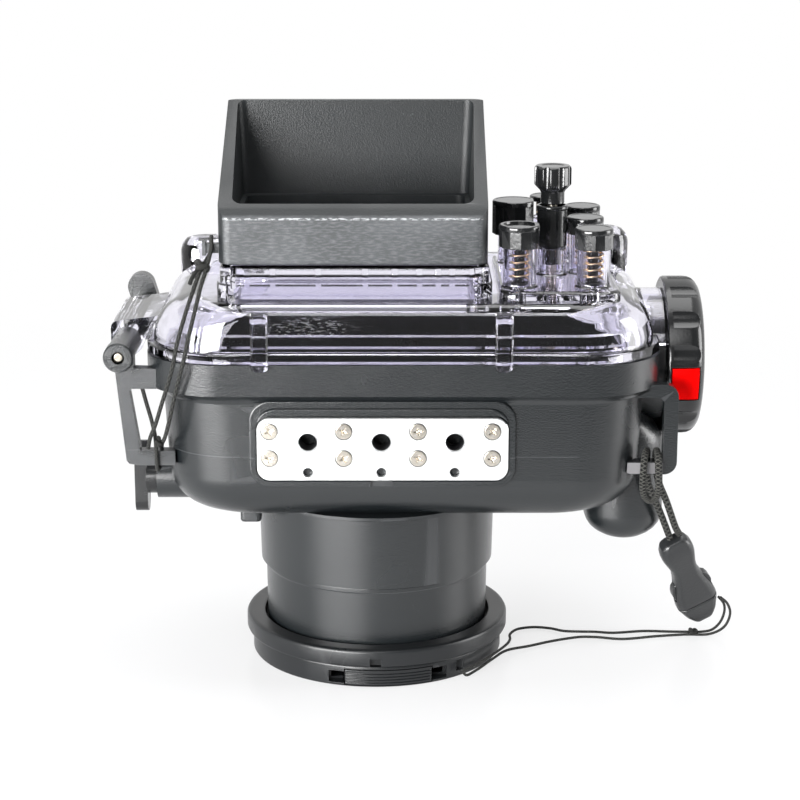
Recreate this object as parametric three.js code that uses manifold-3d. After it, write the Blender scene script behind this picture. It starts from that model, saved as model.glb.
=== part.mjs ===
// Underwater camera housing with a clear hinged back, standing on its port cap as it was photographed.
// Millimetres. X runs to the right, Y from the camera's base to its top, Z from the port to the clear back.
import * as THREE from 'three';
import { mergeVertices } from 'three/addons/utils/BufferGeometryUtils.js';
import Module from 'manifold-3d';

const wasm = await Module();
wasm.setup();

// Gaps, walls and cuts that all pieces share
const fit = 0.3;
const wall = 3;
const overrun = 1;

// Front shell: the black moulded bowl that the camera lies in
const rimLeft = -64.5;
const rimRight = 80.5;
const rimNear = -42;
const rimFar = 45;
const rimCorner = 22;
const rimHeight = 9;
const partingZ = 96.3;
const frontZ = 50;
const bodyInset = 4.3;
const bodyStep = 2;
const bodyDraft = 1.6;
const bodyFillet = 13;
const coveHeight = 2.4;
const cavityFloorZ = 53.6;
const cavityFillet = 9;
const rimLedge = 8.2;
const sealWidth = 2.2;
const sealDepth = 2;
const sealProud = 0.15;
const sealInset = 1.7;
const sealSideInset = 3.9;

// Grip bulge at the right of the front
const gripLeft = 61;
const gripRight = 84;
const gripNear = -20;
const gripFar = 38;
const gripFrontZ = 37.5;
const gripTopZ = 76;
const gripBackZ = 66;
const gripCorner = 11;
const gripFillet = 8;
const gripShoulder = 7;

// Small foot beside the port, under the shell's near left
const footLeft = -39;
const footRight = -33;
const footNear = -23;
const footFar = -17;
const footZ = 45.4;

// Port: collar on the shell, barrel, front ring, glass and seal
const barrelRadius = 33.1;
const collarStep = 1.3;
const collarRadius = barrelRadius + collarStep;
const collarFlare = 0.5;
const collarEndZ = 28.9;
const barrelTaper = 0.5;
const barrelWall = 3;
const spigotWall = 3.2;
const spigotLength = 12;
const barrelFrontZ = 8;
const ringReach = 5.9;
const ringRadius = barrelRadius + ringReach;
const ringBottomZ = 6.65;
const ringTopZ = 12;
const ringLip = 1.2;
const glassInset = 2.7;
const glassRadius = barrelRadius - glassInset;
const glassThick = 3;
const glassLipWidth = 2;
const portSealWidth = 0.8;
const notchWidth = 3.2;
const notchHeight = 1;
const notchDepth = 2;

// Port cap with its pinch tab
const capInset = 1.8;
const capRadius = ringRadius - capInset;
const capFloor = 1.7;
const capWall = 2.4;
const capSpigotRadius = glassRadius - glassLipWidth - 2 * fit;
const capSpigotTopZ = 7.5;
const capTurn = 6;
const tabWidth = 25;
const tabHeight = 4.4;
const tabFootZ = 0.7;
const tabDepth = 1.5;
const tabTravel = 1.2;
const tabRibs = 4;
const tabRibDepth = 0.35;
const slotWidth = 4.6;
const slotHeight = 3.9;
const cordHoleWidth = 2.2;
const cordHoleTurn = -49;

// Tripod plate and its screws
const plateLeft = -32.7;
const plateRight = 37;
const plateLowZ = 63.3;
const plateHighZ = 81.3;
const plateFaceY = -41.5;
const plateThick = 1.6;
const plateCorner = 3.6;
const frameMargin = 2.1;
const frameTop = 4.6;
const frameProud = 0.4;
const frameBreak = 6;
const tripodBore = 5.75;
const tripodPitch = 20.4;
const tripodMiddle = 1.8;
const tripodZ = 74.2;
const tripodDepth = 8;
const tripodBossWall = 4;
const pinBore = 2.7;
const pinDepth = 2.2;
const pinDrop = 8.6;
const screwHead = 4.4;
const screwShank = 2.2;
const screwLength = 6;
const screwFirst = -29.2;
const screwPitch = 20.6;
const screwHighZ = 77.4;
const screwLowZ = 69.7;
const screwSlot = 0.5;
const screwSlotLength = 2.6;

// Hinge along the left edge
const hingeX = -71.4;
const hingeZ = 96.5;
const earRadius = 4.2;
const barrelHinge = 3.9;
const pinRadius = 1.5;
const nearEarY = -34;
const nearEarThick = 5.4;
const knuckleNearY = -10.5;
const knuckleFarY = 23.3;
const knuckleRadius = 4.8;
const knuckleTopZ = 101.5;
const knuckleRootZ = 103.6;
const farEarY = 43.5;
const farEarThick = 5;
const farEarTopX = -73;
const farEarTopZ = 102;
const armTopZ = 93;
const armThick = 5.6;
const pinInset = 0.8;

// Strap loops
const loopBar = 4;
const loopNearY = -32.6;
const leftLoopX = -68;
const leftLoopLowZ = 65.2;
const leftLoopBarZ = 69.4;
const leftBarLean = 2.6;
const rightLoopX = 85;
const rightLoopLowZ = 62.5;
const rightLoopHighZ = 88.5;
const loopCorner = 3.6;

// Lock: spindle, cam with its spiral rim, knob with a red release button
const lockY = 0;
const lockZ = 89.7;
const lockRecessX = 77.2;
const collarOuter = 19.6;
const collarInner = 17.8;
const collarEndX = 82.6;
const camOuter = 17.2;
const camHub = 6;
const camBackX = 79.9;
const camFrontX = 82.7;
const camLipWide = 15.8;
const camLipTight = 14.75;
const camMouth = 62;
const camLeadShare = 0.15;
const hookInner = 10.5;
const hookOuter = 14.4;
const hookHalfTurn = 26;
const spindleRadius = 2.4;
const spindleHead = 5;
const spindleHeadThick = 2;
const spindleEndX = 92.4;
const knobRadius = 23;
const knobBackX = 83;
const knobFrontX = 95.6;
const knobFillet = 4;
const knobBackFillet = 0.8;
const knobDish = 1.2;
const knobDishRadius = 16.5;
const knobFlutes = 14;
const fluteRadius = 5;
const fluteDepth = 0.9;
const redLowZ = 81.4;
const redHighZ = 90.8;
const redBackX = 84.2;
const redFrontX = 92;
const redDepth = 4.4;
const redTravel = 1.5;

// Zoom knob at the lower left, its shaft and its gear
const zoomY = -12;
const zoomZ = 56.3;
const zoomBossRadius = 6.5;
const zoomBossX = -63.4;
const zoomKnobOuterX = -70;
const zoomHubX = -66.6;
const zoomHubRadius = 5.2;
const zoomLobe = 3.9;
const zoomReach = 6.7;
const zoomWaist = 2.6;
const zoomShaftRadius = 1.9;
const zoomGearX = -50.6;
const zoomGearWidth = 4.4;
const zoomGearRadius = 4;
const zoomGearTooth = 0.7;
const zoomTeeth = 12;

// Controls on the camera's top side
const shutterX = 66;
const shutterZ = 60;
const shutterRadius = 5.4;
const shutterHeight = 6.5;
const shutterTravel = 2.5;
const shutterStem = 1.6;
const modeX = 38;
const modeZ = 76;
const modeRadius = 9;
const modeHeight = 8;
const modeFlutes = 12;
const modeFlute = 1.6;
const modeShaft = 2;
const topBossProud = 2.2;
const topStemReach = 6;

// Rubber pads that hold the camera
const padHeight = 5;
const padLength = 26;
const padWidth = 14;
const padCorner = 2.5;
const leftPadX = -38.5;
const leftPadY = 17;
const rightPadX = 49;
const rightPadY = 2;

// Clear back cover: skirt, shoulder, screen plateau, button plateau and the two far humps
const skirtHeight = 2.8;
const skirtInset = 1.8;
const shoulderZ = 112.6;
const domeLeft = 11;
const domeRight = 9.4;
const domeEdge = 3.6;
const domeShares = [
  [0, 0, 0, 0], [0.364, 0.064, 0.074, 0.083], [0.667, 0.255, 0.255, 0.194], [0.864, 0.573, 0.606, 0.417],
  [1, 1, 1, 1],
];
const screenLeft = -43.3;
const screenRight = 31.9;
const screenNear = -30;
const screenFar = 25;
const screenTopZ = 121.8;
const screenCorner = 5;
const screenStepZ = 116.6;
const screenStep = 0.9;
const screenRibWidth = 1.2;
const screenRibs = [-35.8, -28.2, -15.5, 4.5, 16.8, 25];
const buttonLeft = 34.6;
const buttonRight = 68.4;
const buttonNear = -33;
const buttonFar = 27;
const buttonTopZ = 115;
const buttonCorner = 5;
const eyeLeft = -60;
const eyeRight = -33;
const eyeNear = 29;
const eyeFar = 42.5;
const eyeTopZ = 118.5;
const humpLeft = 60;
const humpRight = 76.5;
const humpNear = 28;
const humpTopZ = 121.5;
const humpCorner = 5;
const clipWidth = 3.8;
const clipLeftX = -31.5;
const clipRightX = 35.5;
const clipLowZ = 94.8;
const clipHighZ = 110.9;
const clipProud = 1.7;

// Hood round the screen
const hoodLeft = -43.4;
const hoodRight = 31.4;
const hoodNear = -30;
const hoodFar = 22;
const hoodNearTopZ = 138;
const hoodFarTopZ = 161.8;
const hoodWall = 2.3;
const hoodSeatWall = 5;
const hoodCorner = 3;
const lugReach = 4.4;
const lugY = -26.5;
const lugZ = 126.3;
const lugSize = 2.6;
const lugFlange = 3.8;
const lugFlangeThick = 1;

// Push buttons: place, cap radius, flat, top and lower edge of each
const menuX = 40.4;
const menuY = -24;
const menuRadius = 5.9;
const menuFlat = 5.3;
const menuTopZ = 132.5;
const menuLowZ = 126;
const menuDish = 0.6;
const playbackX = 61;
const playbackY = -24;
const playbackRadius = 5.4;
const playbackTopZ = 131.5;
const playbackLowZ = 125.5;
const displayX = 60.2;
const displayY = -4;
const displayTopZ = 131.3;
const movieX = 60.7;
const movieY = 14;
const movieTopZ = 131.6;
const functionX = 40.5;
const functionY = 12;
const functionRadius = 6.4;
const functionFlat = 5.6;
const functionTopZ = 133.5;
const functionLowZ = 123.4;
const exposureX = 50.6;
const exposureY = 20;
const exposureRadius = 5.1;
const exposureTopZ = 133.6;
const plainLowZ = 126.2;

// What the buttons share: cup on the cover, cap, stem, spring and seal
const cupRadius = 4.6;
const cupBore = 3.7;
const cupTopZ = 127.2;
const buttonRadius = 5.3;
const buttonSkin = 1.4;
const buttonHollow = 4.95;
const buttonStem = 1.4;
const stemHoleRadius = buttonStem + fit;
const stemEndZ = 109.5;
const buttonTravel = 2.5;
const springRadius = 2.75;
const springWire = 0.6;
const springCurls = 4;
const stemSealRadius = 2.3;
const stemSealThick = 0.9;

// Dial with a fluted head on a long stem
const dialX = 50.5;
const dialY = -6;
const dialHeadRadius = 5.3;
const dialNeckRadius = 3.4;
const dialHeadZ = 140.3;
const dialTopZ = 146.3;
const dialNeckZ = 135.4;
const dialFlutes = 8;
const dialFlute = 1.3;
const dialSpigot = 2.6;
const sleeveRadius = 4.3;
const sleeveBore = 3.7;
const sleeveTopZ = 135;
const dialCupTopZ = 122.8;
const dialStem = 1.5;
const dialFootRadius = 3;
const dialFootHeight = 2;
const dialTravel = 3;

// Lanyards and the buckle
const hoodCordWidth = 0.9;
const wristCordWidth = 2;
const capCordWidth = 0.8;
const buckleWidth = 13;
const buckleLength = 39.4;
const buckleThick = 3.2;
const buckleCornerShare = 0.8;
const buckleBodyShares = [
  [0, 0.34, 0.53], [0.03, 0.65, 0.81], [0.127, 0.785, 0.97], [0.228, 0.708, 0.97], [0.355, 0.6, 0.94],
  [0.508, 0.754, 0.97], [0.685, 0.97, 1], [0.751, 1, 1],
];
const buckleClipShares = [[0.759, 1, 1], [0.838, 0.877, 0.97], [0.939, 0.63, 0.81], [1, 0.37, 0.53]];
const buckleSplit = 29;
const socketHalf = 3.1;
const socketThick = 1.5;
const socketStart = 16;
const prongOut = 2.8;
const prongIn = 1.6;
const lugOut = 5.4;
const lugStart = 18.5;
const lugEnd = 26.5;
const buckleTop = [87, -12.2, 36.6];
const buckleTip = [101.3, 10.6, 1.9];
const buckleView = [0, 0.97, -0.25];

// Steps round curves
const cornerSteps = 3;
const filletSteps = 3;
const roundSteps = 32;
const smallSteps = 12;
const tinySteps = 8;
const curlSteps = 8;
const wireSides = 5;
const cordSides = 8;
const fluteSteps = 6;
const cordChecks = 600;
const hoodCordSteps = 60;
const wristCordSteps = 36;
const capCordSteps = 64;

// Facets flatter than this are joined
const flatness = 0.01;

const quarter = Math.PI / 2;
const degrees = THREE.MathUtils.degToRad;

// Materials, with the colours of the real finishes
function finish(color, roughness, metalness = 0) {
  return new THREE.MeshStandardMaterial({ color, roughness, metalness });
}
const blackPlastic = finish('#1c2022', 0.45);
const blackSatin = finish('#16181a', 0.3);
const hoodPlastic = finish('#33373a', 0.5);
const clearPlastic = new THREE.MeshStandardMaterial({
  color: '#dcd8f4', roughness: 0.05, transparent: true, opacity: 0.4,
});
const portGlassFinish = new THREE.MeshStandardMaterial({
  color: '#e8f0ee', roughness: 0.02, transparent: true, opacity: 0.35,
});
const aluminium = finish('#d3d6d8', 0.35, 0.9);
const steel = finish('#b9bcc0', 0.25, 1);
const springSteel = finish('#c2a878', 0.3, 1);
const redPlastic = finish('#e01008', 0.4);
const sealRubber = finish('#0d0d0d', 0.7);
const padRubber = finish('#18191a', 0.9);
const cordFibre = finish('#1d1f1c', 0.85);

// Solids: a closed mesh becomes a solid, turned right way out
function solid(geometry) {
  const bare = new THREE.BufferGeometry();
  bare.setAttribute('position', geometry.getAttribute('position').clone());
  if (geometry.index) bare.setIndex(geometry.index.clone());
  const merged = mergeVertices(bare);
  const corners = merged.getAttribute('position').array;
  const index = merged.index.array;
  const kept = [];
  let volume = 0;
  for (let i = 0; i < index.length; i += 3) {
    const [a, b, c] = [index[i], index[i + 1], index[i + 2]];
    if (a === b || b === c || c === a) continue;
    kept.push(a, b, c);
    const p = new THREE.Vector3().fromArray(corners, 3 * a);
    const q = new THREE.Vector3().fromArray(corners, 3 * b);
    const r = new THREE.Vector3().fromArray(corners, 3 * c);
    volume += p.dot(q.cross(r));
  }
  if (volume < 0) kept.reverse();
  return new wasm.Manifold(new wasm.Mesh({
    numProp: 3, vertProperties: new Float32Array(corners), triVerts: new Uint32Array(kept),
  }));
}

function surface(shape) {
  const mesh = shape.getMesh();
  const geometry = new THREE.BufferGeometry();
  geometry.setAttribute('position', new THREE.BufferAttribute(new Float32Array(mesh.vertProperties), 3));
  geometry.setIndex(new THREE.BufferAttribute(new Uint32Array(mesh.triVerts), 1));
  geometry.computeVertexNormals();
  return geometry;
}

// A shape's plane and its direction of growth, for work along each axis
const along = {
  x: new THREE.Matrix4().makeBasis(
    new THREE.Vector3(0, 1, 0), new THREE.Vector3(0, 0, 1), new THREE.Vector3(1, 0, 0)),
  y: new THREE.Matrix4().makeBasis(
    new THREE.Vector3(1, 0, 0), new THREE.Vector3(0, 0, 1), new THREE.Vector3(0, 1, 0)),
  z: new THREE.Matrix4(),
};

// An outline pushed from one level to another; x takes it in the YZ plane and y in the XZ plane
function prism(outline, from, to, axis = 'z') {
  const geometry = new THREE.ExtrudeGeometry(outline, {
    depth: to - from, bevelEnabled: false, curveSegments: cornerSteps,
  });
  geometry.translate(0, 0, from);
  return solid(geometry.applyMatrix4(along[axis]));
}

// The same with its edges broken all round
function softPrism(outline, from, to, edge, axis = 'z') {
  const geometry = new THREE.ExtrudeGeometry(outline, {
    depth: to - from - 2 * edge, bevelThickness: edge, bevelSize: edge, bevelOffset: -edge,
    bevelSegments: 1, curveSegments: cornerSteps,
  });
  geometry.translate(0, 0, from + edge);
  return solid(geometry.applyMatrix4(along[axis]));
}

function polygon(points) {
  return new THREE.Shape(points.map(([a, b]) => new THREE.Vector2(a, b)));
}

function rounded(x0, x1, y0, y1, radius) {
  return polygon(ring(0, x0, x1, y0, y1, radius).map((point) => [point.x, point.y]));
}

function box(x0, x1, y0, y1, z0, z1) {
  const geometry = new THREE.BoxGeometry(x1 - x0, y1 - y0, z1 - z0);
  geometry.translate((x0 + x1) / 2, (y0 + y1) / 2, (z0 + z1) / 2);
  return solid(geometry);
}

// A profile of [radius, level] pairs turned round an axis through a place
const turnedOnto = {
  x: new THREE.Matrix4().makeBasis(
    new THREE.Vector3(0, 1, 0), new THREE.Vector3(1, 0, 0), new THREE.Vector3(0, 0, 1)),
  y: new THREE.Matrix4(),
  z: new THREE.Matrix4().makeBasis(
    new THREE.Vector3(1, 0, 0), new THREE.Vector3(0, 0, 1), new THREE.Vector3(0, 1, 0)),
};
function turned(profile, axis = 'z', place = [0, 0, 0], steps = roundSteps) {
  const points = profile.map(([radius, level]) => new THREE.Vector2(radius, level));
  const geometry = new THREE.LatheGeometry(points, steps);
  geometry.applyMatrix4(turnedOnto[axis]).translate(...place);
  return solid(geometry);
}
function rod(radius, from, to, axis, place, steps = smallSteps) {
  return turned([[0, from], [radius, from], [radius, to], [0, to]], axis, place, steps);
}
function pipe(inner, outer, from, to, axis, place, steps = smallSteps) {
  const profile = [[inner, from], [outer, from], [outer, to], [inner, to], [inner, from]];
  return turned(profile, axis, place, steps);
}

// Rings of equal count joined into a skin, with a lid at each end
function loft(rings) {
  const count = rings[0].length;
  const last = count * (rings.length - 1);
  const faces = [];
  for (let start = 0; start < last; start += count) {
    for (let i = 0; i < count; i++) {
      const a = start + i;
      const b = start + (i + 1) % count;
      faces.push(a, b, b + count, a, b + count, a + count);
    }
  }
  const lid = rings[0].map((point) => new THREE.Vector2(point.x, point.y));
  for (const [a, b, c] of THREE.ShapeUtils.triangulateShape(lid, [])) {
    faces.push(c, b, a, last + a, last + b, last + c);
  }
  const geometry = new THREE.BufferGeometry().setFromPoints(rings.flat());
  geometry.setIndex(faces);
  return solid(geometry);
}

// A level ring with round corners, for lofts
function ring(level, x0, x1, y0, y1, radius) {
  const points = [];
  const corners = [[x1, y0, -1, 1], [x1, y1, -1, -1], [x0, y1, 1, -1], [x0, y0, 1, 1]];
  corners.forEach(([x, y, toX, toY], turn) => {
    for (let step = 0; step <= cornerSteps; step++) {
      const angle = quarter * (turn - 1 + step / cornerSteps);
      points.push(new THREE.Vector3(
        x + radius * (toX + Math.cos(angle)), y + radius * (toY + Math.sin(angle)), level));
    }
  });
  return points;
}

// A tray's rings from its rounded floor up, drawn in by the fillet
function floorRings(level, x0, x1, y0, y1, corner, fillet) {
  const rings = [];
  for (let step = 0; step <= filletSteps; step++) {
    const angle = quarter * step / filletSteps;
    const inset = fillet * (1 - Math.sin(angle));
    const radius = Math.max(corner - inset, corner / 4);
    const height = level + fillet * (1 - Math.cos(angle));
    rings.push(ring(height, x0 + inset, x1 - inset, y0 + inset, y1 - inset, radius));
  }
  return rings;
}

// The object's tree: the shell, and on it the clear back
const housing = new THREE.Group();
const back = new THREE.Group();
housing.add(back);
function piece(name, shape, material, parent = housing) {
  const mesh = new THREE.Mesh(surface(shape.simplify(flatness)), material);
  mesh.name = name;
  parent.add(mesh);
  return mesh;
}

// Shell body, grown by a margin for what must clear it
const bodyLeft = rimLeft + bodyInset;
const bodyRight = rimRight - bodyInset;
const bodyNear = rimNear + bodyStep;
const bodyFar = rimFar - bodyStep;
const bodyCorner = rimCorner - bodyStep;
const coveZ = partingZ - rimHeight - coveHeight;
const cavityLeft = rimLeft + rimLedge;
const cavityRight = rimRight - rimLedge;
const cavityNear = bodyNear + wall;
const cavityFar = bodyFar - wall;
function shellBody(margin = 0) {
  const rings = floorRings(frontZ - margin, bodyLeft + bodyDraft - margin, bodyRight - bodyDraft + margin,
    bodyNear - margin, bodyFar + margin, bodyCorner + margin, bodyFillet);
  rings.push(ring(coveZ, bodyLeft - margin, bodyRight + margin,
    bodyNear - margin, bodyFar + margin, bodyCorner + margin));
  for (const level of [partingZ - rimHeight, partingZ]) {
    rings.push(ring(level, rimLeft - margin, rimRight + margin, rimNear - margin, rimFar + margin,
      rimCorner + margin));
  }
  return loft(rings);
}
function gripBody(inset = 0) {
  const left = gripLeft + inset;
  const right = gripRight - inset;
  const near = gripNear + inset;
  const far = gripFar - inset;
  const corner = gripCorner - inset;
  const rings = floorRings(gripFrontZ + inset, left, right, near, far, corner, gripFillet - inset);
  rings.push(ring(gripBackZ - inset, left, right, near, far, corner));
  rings.push(ring(gripTopZ - inset, left, right - gripShoulder, near, far, corner));
  return loft(rings);
}

// Far hinge ear and its barrel, moulded on the shell
function farEar() {
  const lean = Math.atan2(hingeX - farEarTopX, farEarTopZ - hingeZ);
  const shape = new THREE.Shape();
  shape.absarc(farEarTopX, farEarTopZ, earRadius, lean, lean + Math.PI);
  shape.absarc(hingeX, hingeZ, earRadius, lean + Math.PI, lean + 2 * Math.PI);
  const ear = prism(shape, farEarY - farEarThick, farEarY, 'y');
  const armEnd = rimLeft + rimLedge;
  const arm = box(hingeX, armEnd, farEarY - farEarThick, farEarY, armTopZ - armThick, armTopZ);
  const barrel = rod(barrelHinge, knuckleFarY + fit, farEarY - farEarThick, 'y', [hingeX, 0, hingeZ]);
  return ear.add(arm).add(barrel);
}

function tripodCuts() {
  let cuts = null;
  for (const side of [-1, 0, 1]) {
    const x = tripodMiddle + side * tripodPitch;
    const outside = plateFaceY - overrun;
    const bore = rod(tripodBore / 2, outside, plateFaceY + tripodDepth, 'y', [x, 0, tripodZ], tinySteps);
    const pin = rod(pinBore / 2, outside, plateFaceY + pinDepth, 'y', [x, 0, tripodZ - pinDrop], tinySteps);
    cuts = cuts ? cuts.add(bore).add(pin) : bore.add(pin);
  }
  return cuts;
}
function screwPlaces() {
  const places = [];
  for (const z of [screwHighZ, screwLowZ]) {
    for (let i = 0; i < 4; i++) places.push([screwFirst + i * screwPitch, plateFaceY, z]);
  }
  return places;
}

const plateBackY = plateFaceY + plateThick;
function frontShell() {
  let shell = shellBody();
  shell = shell.add(turned([
    [0, collarEndZ], [collarRadius, collarEndZ], [collarRadius + collarFlare, frontZ + overrun],
    [0, frontZ + overrun],
  ]));
  shell = shell.add(gripBody());
  shell = shell.add(box(footLeft, footRight, footNear, footFar, footZ, frontZ + overrun));
  shell = shell.add(rod(zoomBossRadius, zoomBossX, cavityLeft + wall, 'x', [0, zoomY, zoomZ]));
  shell = shell.add(farEar());
  const collar = rod(collarOuter, cavityRight, collarEndX, 'x', [0, lockY, lockZ], roundSteps);
  const below = box(cavityRight - overrun, collarEndX + overrun, lockY - collarOuter - overrun,
    lockY + collarOuter + overrun, lockZ - collarOuter - overrun, partingZ);
  shell = shell.add(collar.intersect(below));
  const frame = rounded(plateLeft - frameMargin, plateRight + frameMargin, plateLowZ - frameMargin,
    plateHighZ + frameTop, plateCorner + frameMargin);
  shell = shell.add(softPrism(frame, plateFaceY - frameProud, bodyNear + overrun, frameProud, 'y'));
  const bossEndY = rimFar + topBossProud;
  shell = shell.add(rod(shutterRadius + wall, bodyFar - wall, bossEndY, 'y', [shutterX, 0, shutterZ]));
  shell = shell.add(rod(modeRadius, bodyFar - wall, bossEndY, 'y', [modeX, 0, modeZ]));

  const cavity = floorRings(cavityFloorZ, cavityLeft, cavityRight, cavityNear, cavityFar,
    bodyCorner - wall, cavityFillet);
  cavity.push(ring(partingZ + overrun, cavityLeft, cavityRight, cavityNear, cavityFar, bodyCorner - wall));
  let hollow = loft(cavity);
  hollow = hollow.add(gripBody(wall));
  hollow = hollow.add(rod(collarRadius - wall, collarEndZ - overrun, cavityFloorZ + overrun, 'z',
    [0, 0, 0], roundSteps));
  hollow = hollow.add(rod(zoomGearRadius + fit, zoomGearX - fit, zoomGearX + zoomGearWidth + fit, 'x',
    [0, zoomY, zoomZ]));
  const boss = prism(rounded(plateLeft, plateRight, tripodZ - tripodBossWall - tripodBore / 2,
    tripodZ + tripodBossWall + tripodBore / 2, plateCorner), bodyNear + wall - overrun,
  plateFaceY + tripodDepth + wall, 'y');
  shell = shell.subtract(hollow).add(boss);

  const lockPlace = [0, lockY, lockZ];
  shell = shell.subtract(rod(collarInner, lockRecessX, collarEndX + overrun, 'x', lockPlace, roundSteps));
  shell = shell.subtract(rod(spindleRadius + fit, cavityRight - overrun, lockRecessX + overrun, 'x',
    lockPlace));
  shell = shell.subtract(rod(zoomShaftRadius + fit, zoomBossX - overrun, zoomGearX + overrun, 'x',
    [0, zoomY, zoomZ], tinySteps));
  shell = shell.subtract(rod(pinRadius + fit, knuckleFarY, farEarY - pinInset, 'y',
    [hingeX, 0, hingeZ], tinySteps));
  shell = shell.subtract(rod(shutterStem + fit, cavityFar - topStemReach - overrun, bossEndY + overrun, 'y',
    [shutterX, 0, shutterZ], tinySteps));
  shell = shell.subtract(rod(modeShaft + fit, cavityFar - overrun, bossEndY + overrun, 'y',
    [modeX, 0, modeZ], tinySteps));
  const pocket = rounded(plateLeft - fit, plateRight + fit, plateLowZ - fit, plateHighZ + fit,
    plateCorner + fit);
  shell = shell.subtract(prism(pocket, plateFaceY - frameProud - overrun, plateBackY + fit, 'y'));
  shell = shell.subtract(box(tripodMiddle - frameBreak / 2, tripodMiddle + frameBreak / 2,
    plateFaceY - frameProud - overrun, bodyNear, plateLowZ - frameMargin - overrun, plateLowZ));
  shell = shell.subtract(tripodCuts());
  for (const [x, y, z] of screwPlaces()) {
    shell = shell.subtract(rod(screwShank / 2 + fit, y, y + screwLength + overrun, 'y',
      [x, 0, z], tinySteps));
  }
  return shell.subtract(sealGroove());
}
function sealRing(inset, low, high) {
  const side = sealSideInset + inset;
  const edge = sealInset + inset;
  return loft([low, high].map((level) => ring(level, rimLeft + side, rimRight - side,
    rimNear + edge, rimFar - edge, rimCorner - side)));
}
function sealGroove() {
  const low = partingZ - sealDepth;
  const high = partingZ + overrun;
  return sealRing(0, low, high).subtract(sealRing(sealWidth, low, high));
}
function mainSeal() {
  const low = partingZ - sealDepth + fit;
  const high = partingZ + sealProud;
  return sealRing(fit, low, high).subtract(sealRing(sealWidth - fit, low, high));
}

// Port pieces, all turned on the port's axis
const barrelFrontRadius = barrelRadius - barrelTaper;
const spigotRadius = collarRadius - wall - fit;
const spigotBore = spigotRadius - spigotWall;
const glassTopZ = barrelFrontZ + fit + glassThick;
const sealSeatZ = glassTopZ + 2 * portSealWidth;
const barrelBore = barrelFrontRadius - barrelWall - glassLipWidth;
const seatRadius = glassRadius + fit;
function portBarrel() {
  return turned([
    [seatRadius, barrelFrontZ], [barrelFrontRadius, barrelFrontZ],
    [barrelRadius, collarEndZ - fit], [spigotRadius, collarEndZ - fit],
    [spigotRadius, collarEndZ + spigotLength],
    [spigotBore, collarEndZ + spigotLength], [barrelBore, collarEndZ - wall],
    [barrelBore, sealSeatZ + fit], [seatRadius, sealSeatZ + fit], [seatRadius, barrelFrontZ],
  ]);
}
function portRing() {
  const ringBore = barrelFrontRadius + barrelTaper + fit;
  const body = turned([
    [glassRadius - glassLipWidth, ringBottomZ], [ringRadius, ringBottomZ], [ringRadius, ringTopZ],
    [ringBore, ringTopZ], [ringBore, ringBottomZ + ringLip],
    [glassRadius - glassLipWidth, ringBottomZ + ringLip], [glassRadius - glassLipWidth, ringBottomZ],
  ]);
  const notch = box(-notchWidth / 2, notchWidth / 2, -ringRadius - overrun, notchDepth - ringRadius,
    ringBottomZ - overrun, ringBottomZ + notchHeight);
  return body.subtract(notch);
}
function portGlass() {
  return turned([
    [0, barrelFrontZ + fit], [glassRadius, barrelFrontZ + fit], [glassRadius, glassTopZ], [0, glassTopZ],
  ]);
}
function portSeal() {
  const middle = seatRadius - glassLipWidth / 2;
  const level = (glassTopZ + sealSeatZ) / 2;
  const thick = portSealWidth - fit / 2;
  const profile = [];
  for (let i = 0; i <= wireSides; i++) {
    const angle = 4 * quarter * i / wireSides;
    profile.push([middle + thick * Math.cos(angle), level + thick * Math.sin(angle)]);
  }
  return turned(profile);
}

// Port cap: floor, skirt and spigot, with a sprung pinch tab let into the skirt
const capSkirtTopZ = ringBottomZ - fit;
function capSkirt(inner, low, high) {
  return turned([[inner, low], [capRadius, low], [capRadius, high], [inner, high], [inner, low]]);
}
function capWindow(margin) {
  return box(-tabWidth / 2 - margin, tabWidth / 2 + margin, -capRadius - overrun,
    capSpigotRadius / 2 - capRadius, tabFootZ - margin, tabFootZ + tabHeight + margin);
}
function portCap() {
  const floor = rod(capRadius, 0, capFloor, 'z', [0, 0, 0], roundSteps);
  const skirt = capSkirt(capRadius - capWall, 0, capSkirtTopZ);
  const spigot = pipe(capSpigotRadius - capWall, capSpigotRadius, capFloor - fit, capSpigotTopZ, 'z',
    [0, 0, 0], roundSteps);
  let cap = floor.add(skirt).add(spigot).subtract(capWindow(fit));
  for (const side of [-1, 1]) {
    const near = side * (tabWidth / 2 + fit);
    const far = side * (tabWidth / 2 + slotWidth);
    cap = cap.subtract(box(Math.min(near, far), Math.max(near, far), -capRadius - overrun,
      capWall + overrun - capRadius, tabFootZ + fit, tabFootZ + slotHeight));
  }
  const hole = degrees(cordHoleTurn - capTurn);
  const [x, y] = [capRadius * Math.cos(hole), capRadius * Math.sin(hole)];
  const half = cordHoleWidth / 2;
  return cap.subtract(box(x - half, x + half, y - half, y + half, capFloor + fit, capSkirtTopZ - half));
}
function capTab() {
  const block = capSkirt(capRadius - capWall - tabDepth, 0, capSkirtTopZ).intersect(capWindow(0));
  let tab = block;
  const pitch = tabHeight / (tabRibs + 1);
  for (let i = 1; i <= tabRibs; i++) {
    const level = tabFootZ + i * pitch;
    const groove = capSkirt(capRadius - tabRibDepth, level - tabRibDepth, level + tabRibDepth);
    tab = tab.subtract(groove.subtract(box(-capRadius, capRadius, 0, capRadius, 0, capSkirtTopZ)));
  }
  return tab;
}

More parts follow.
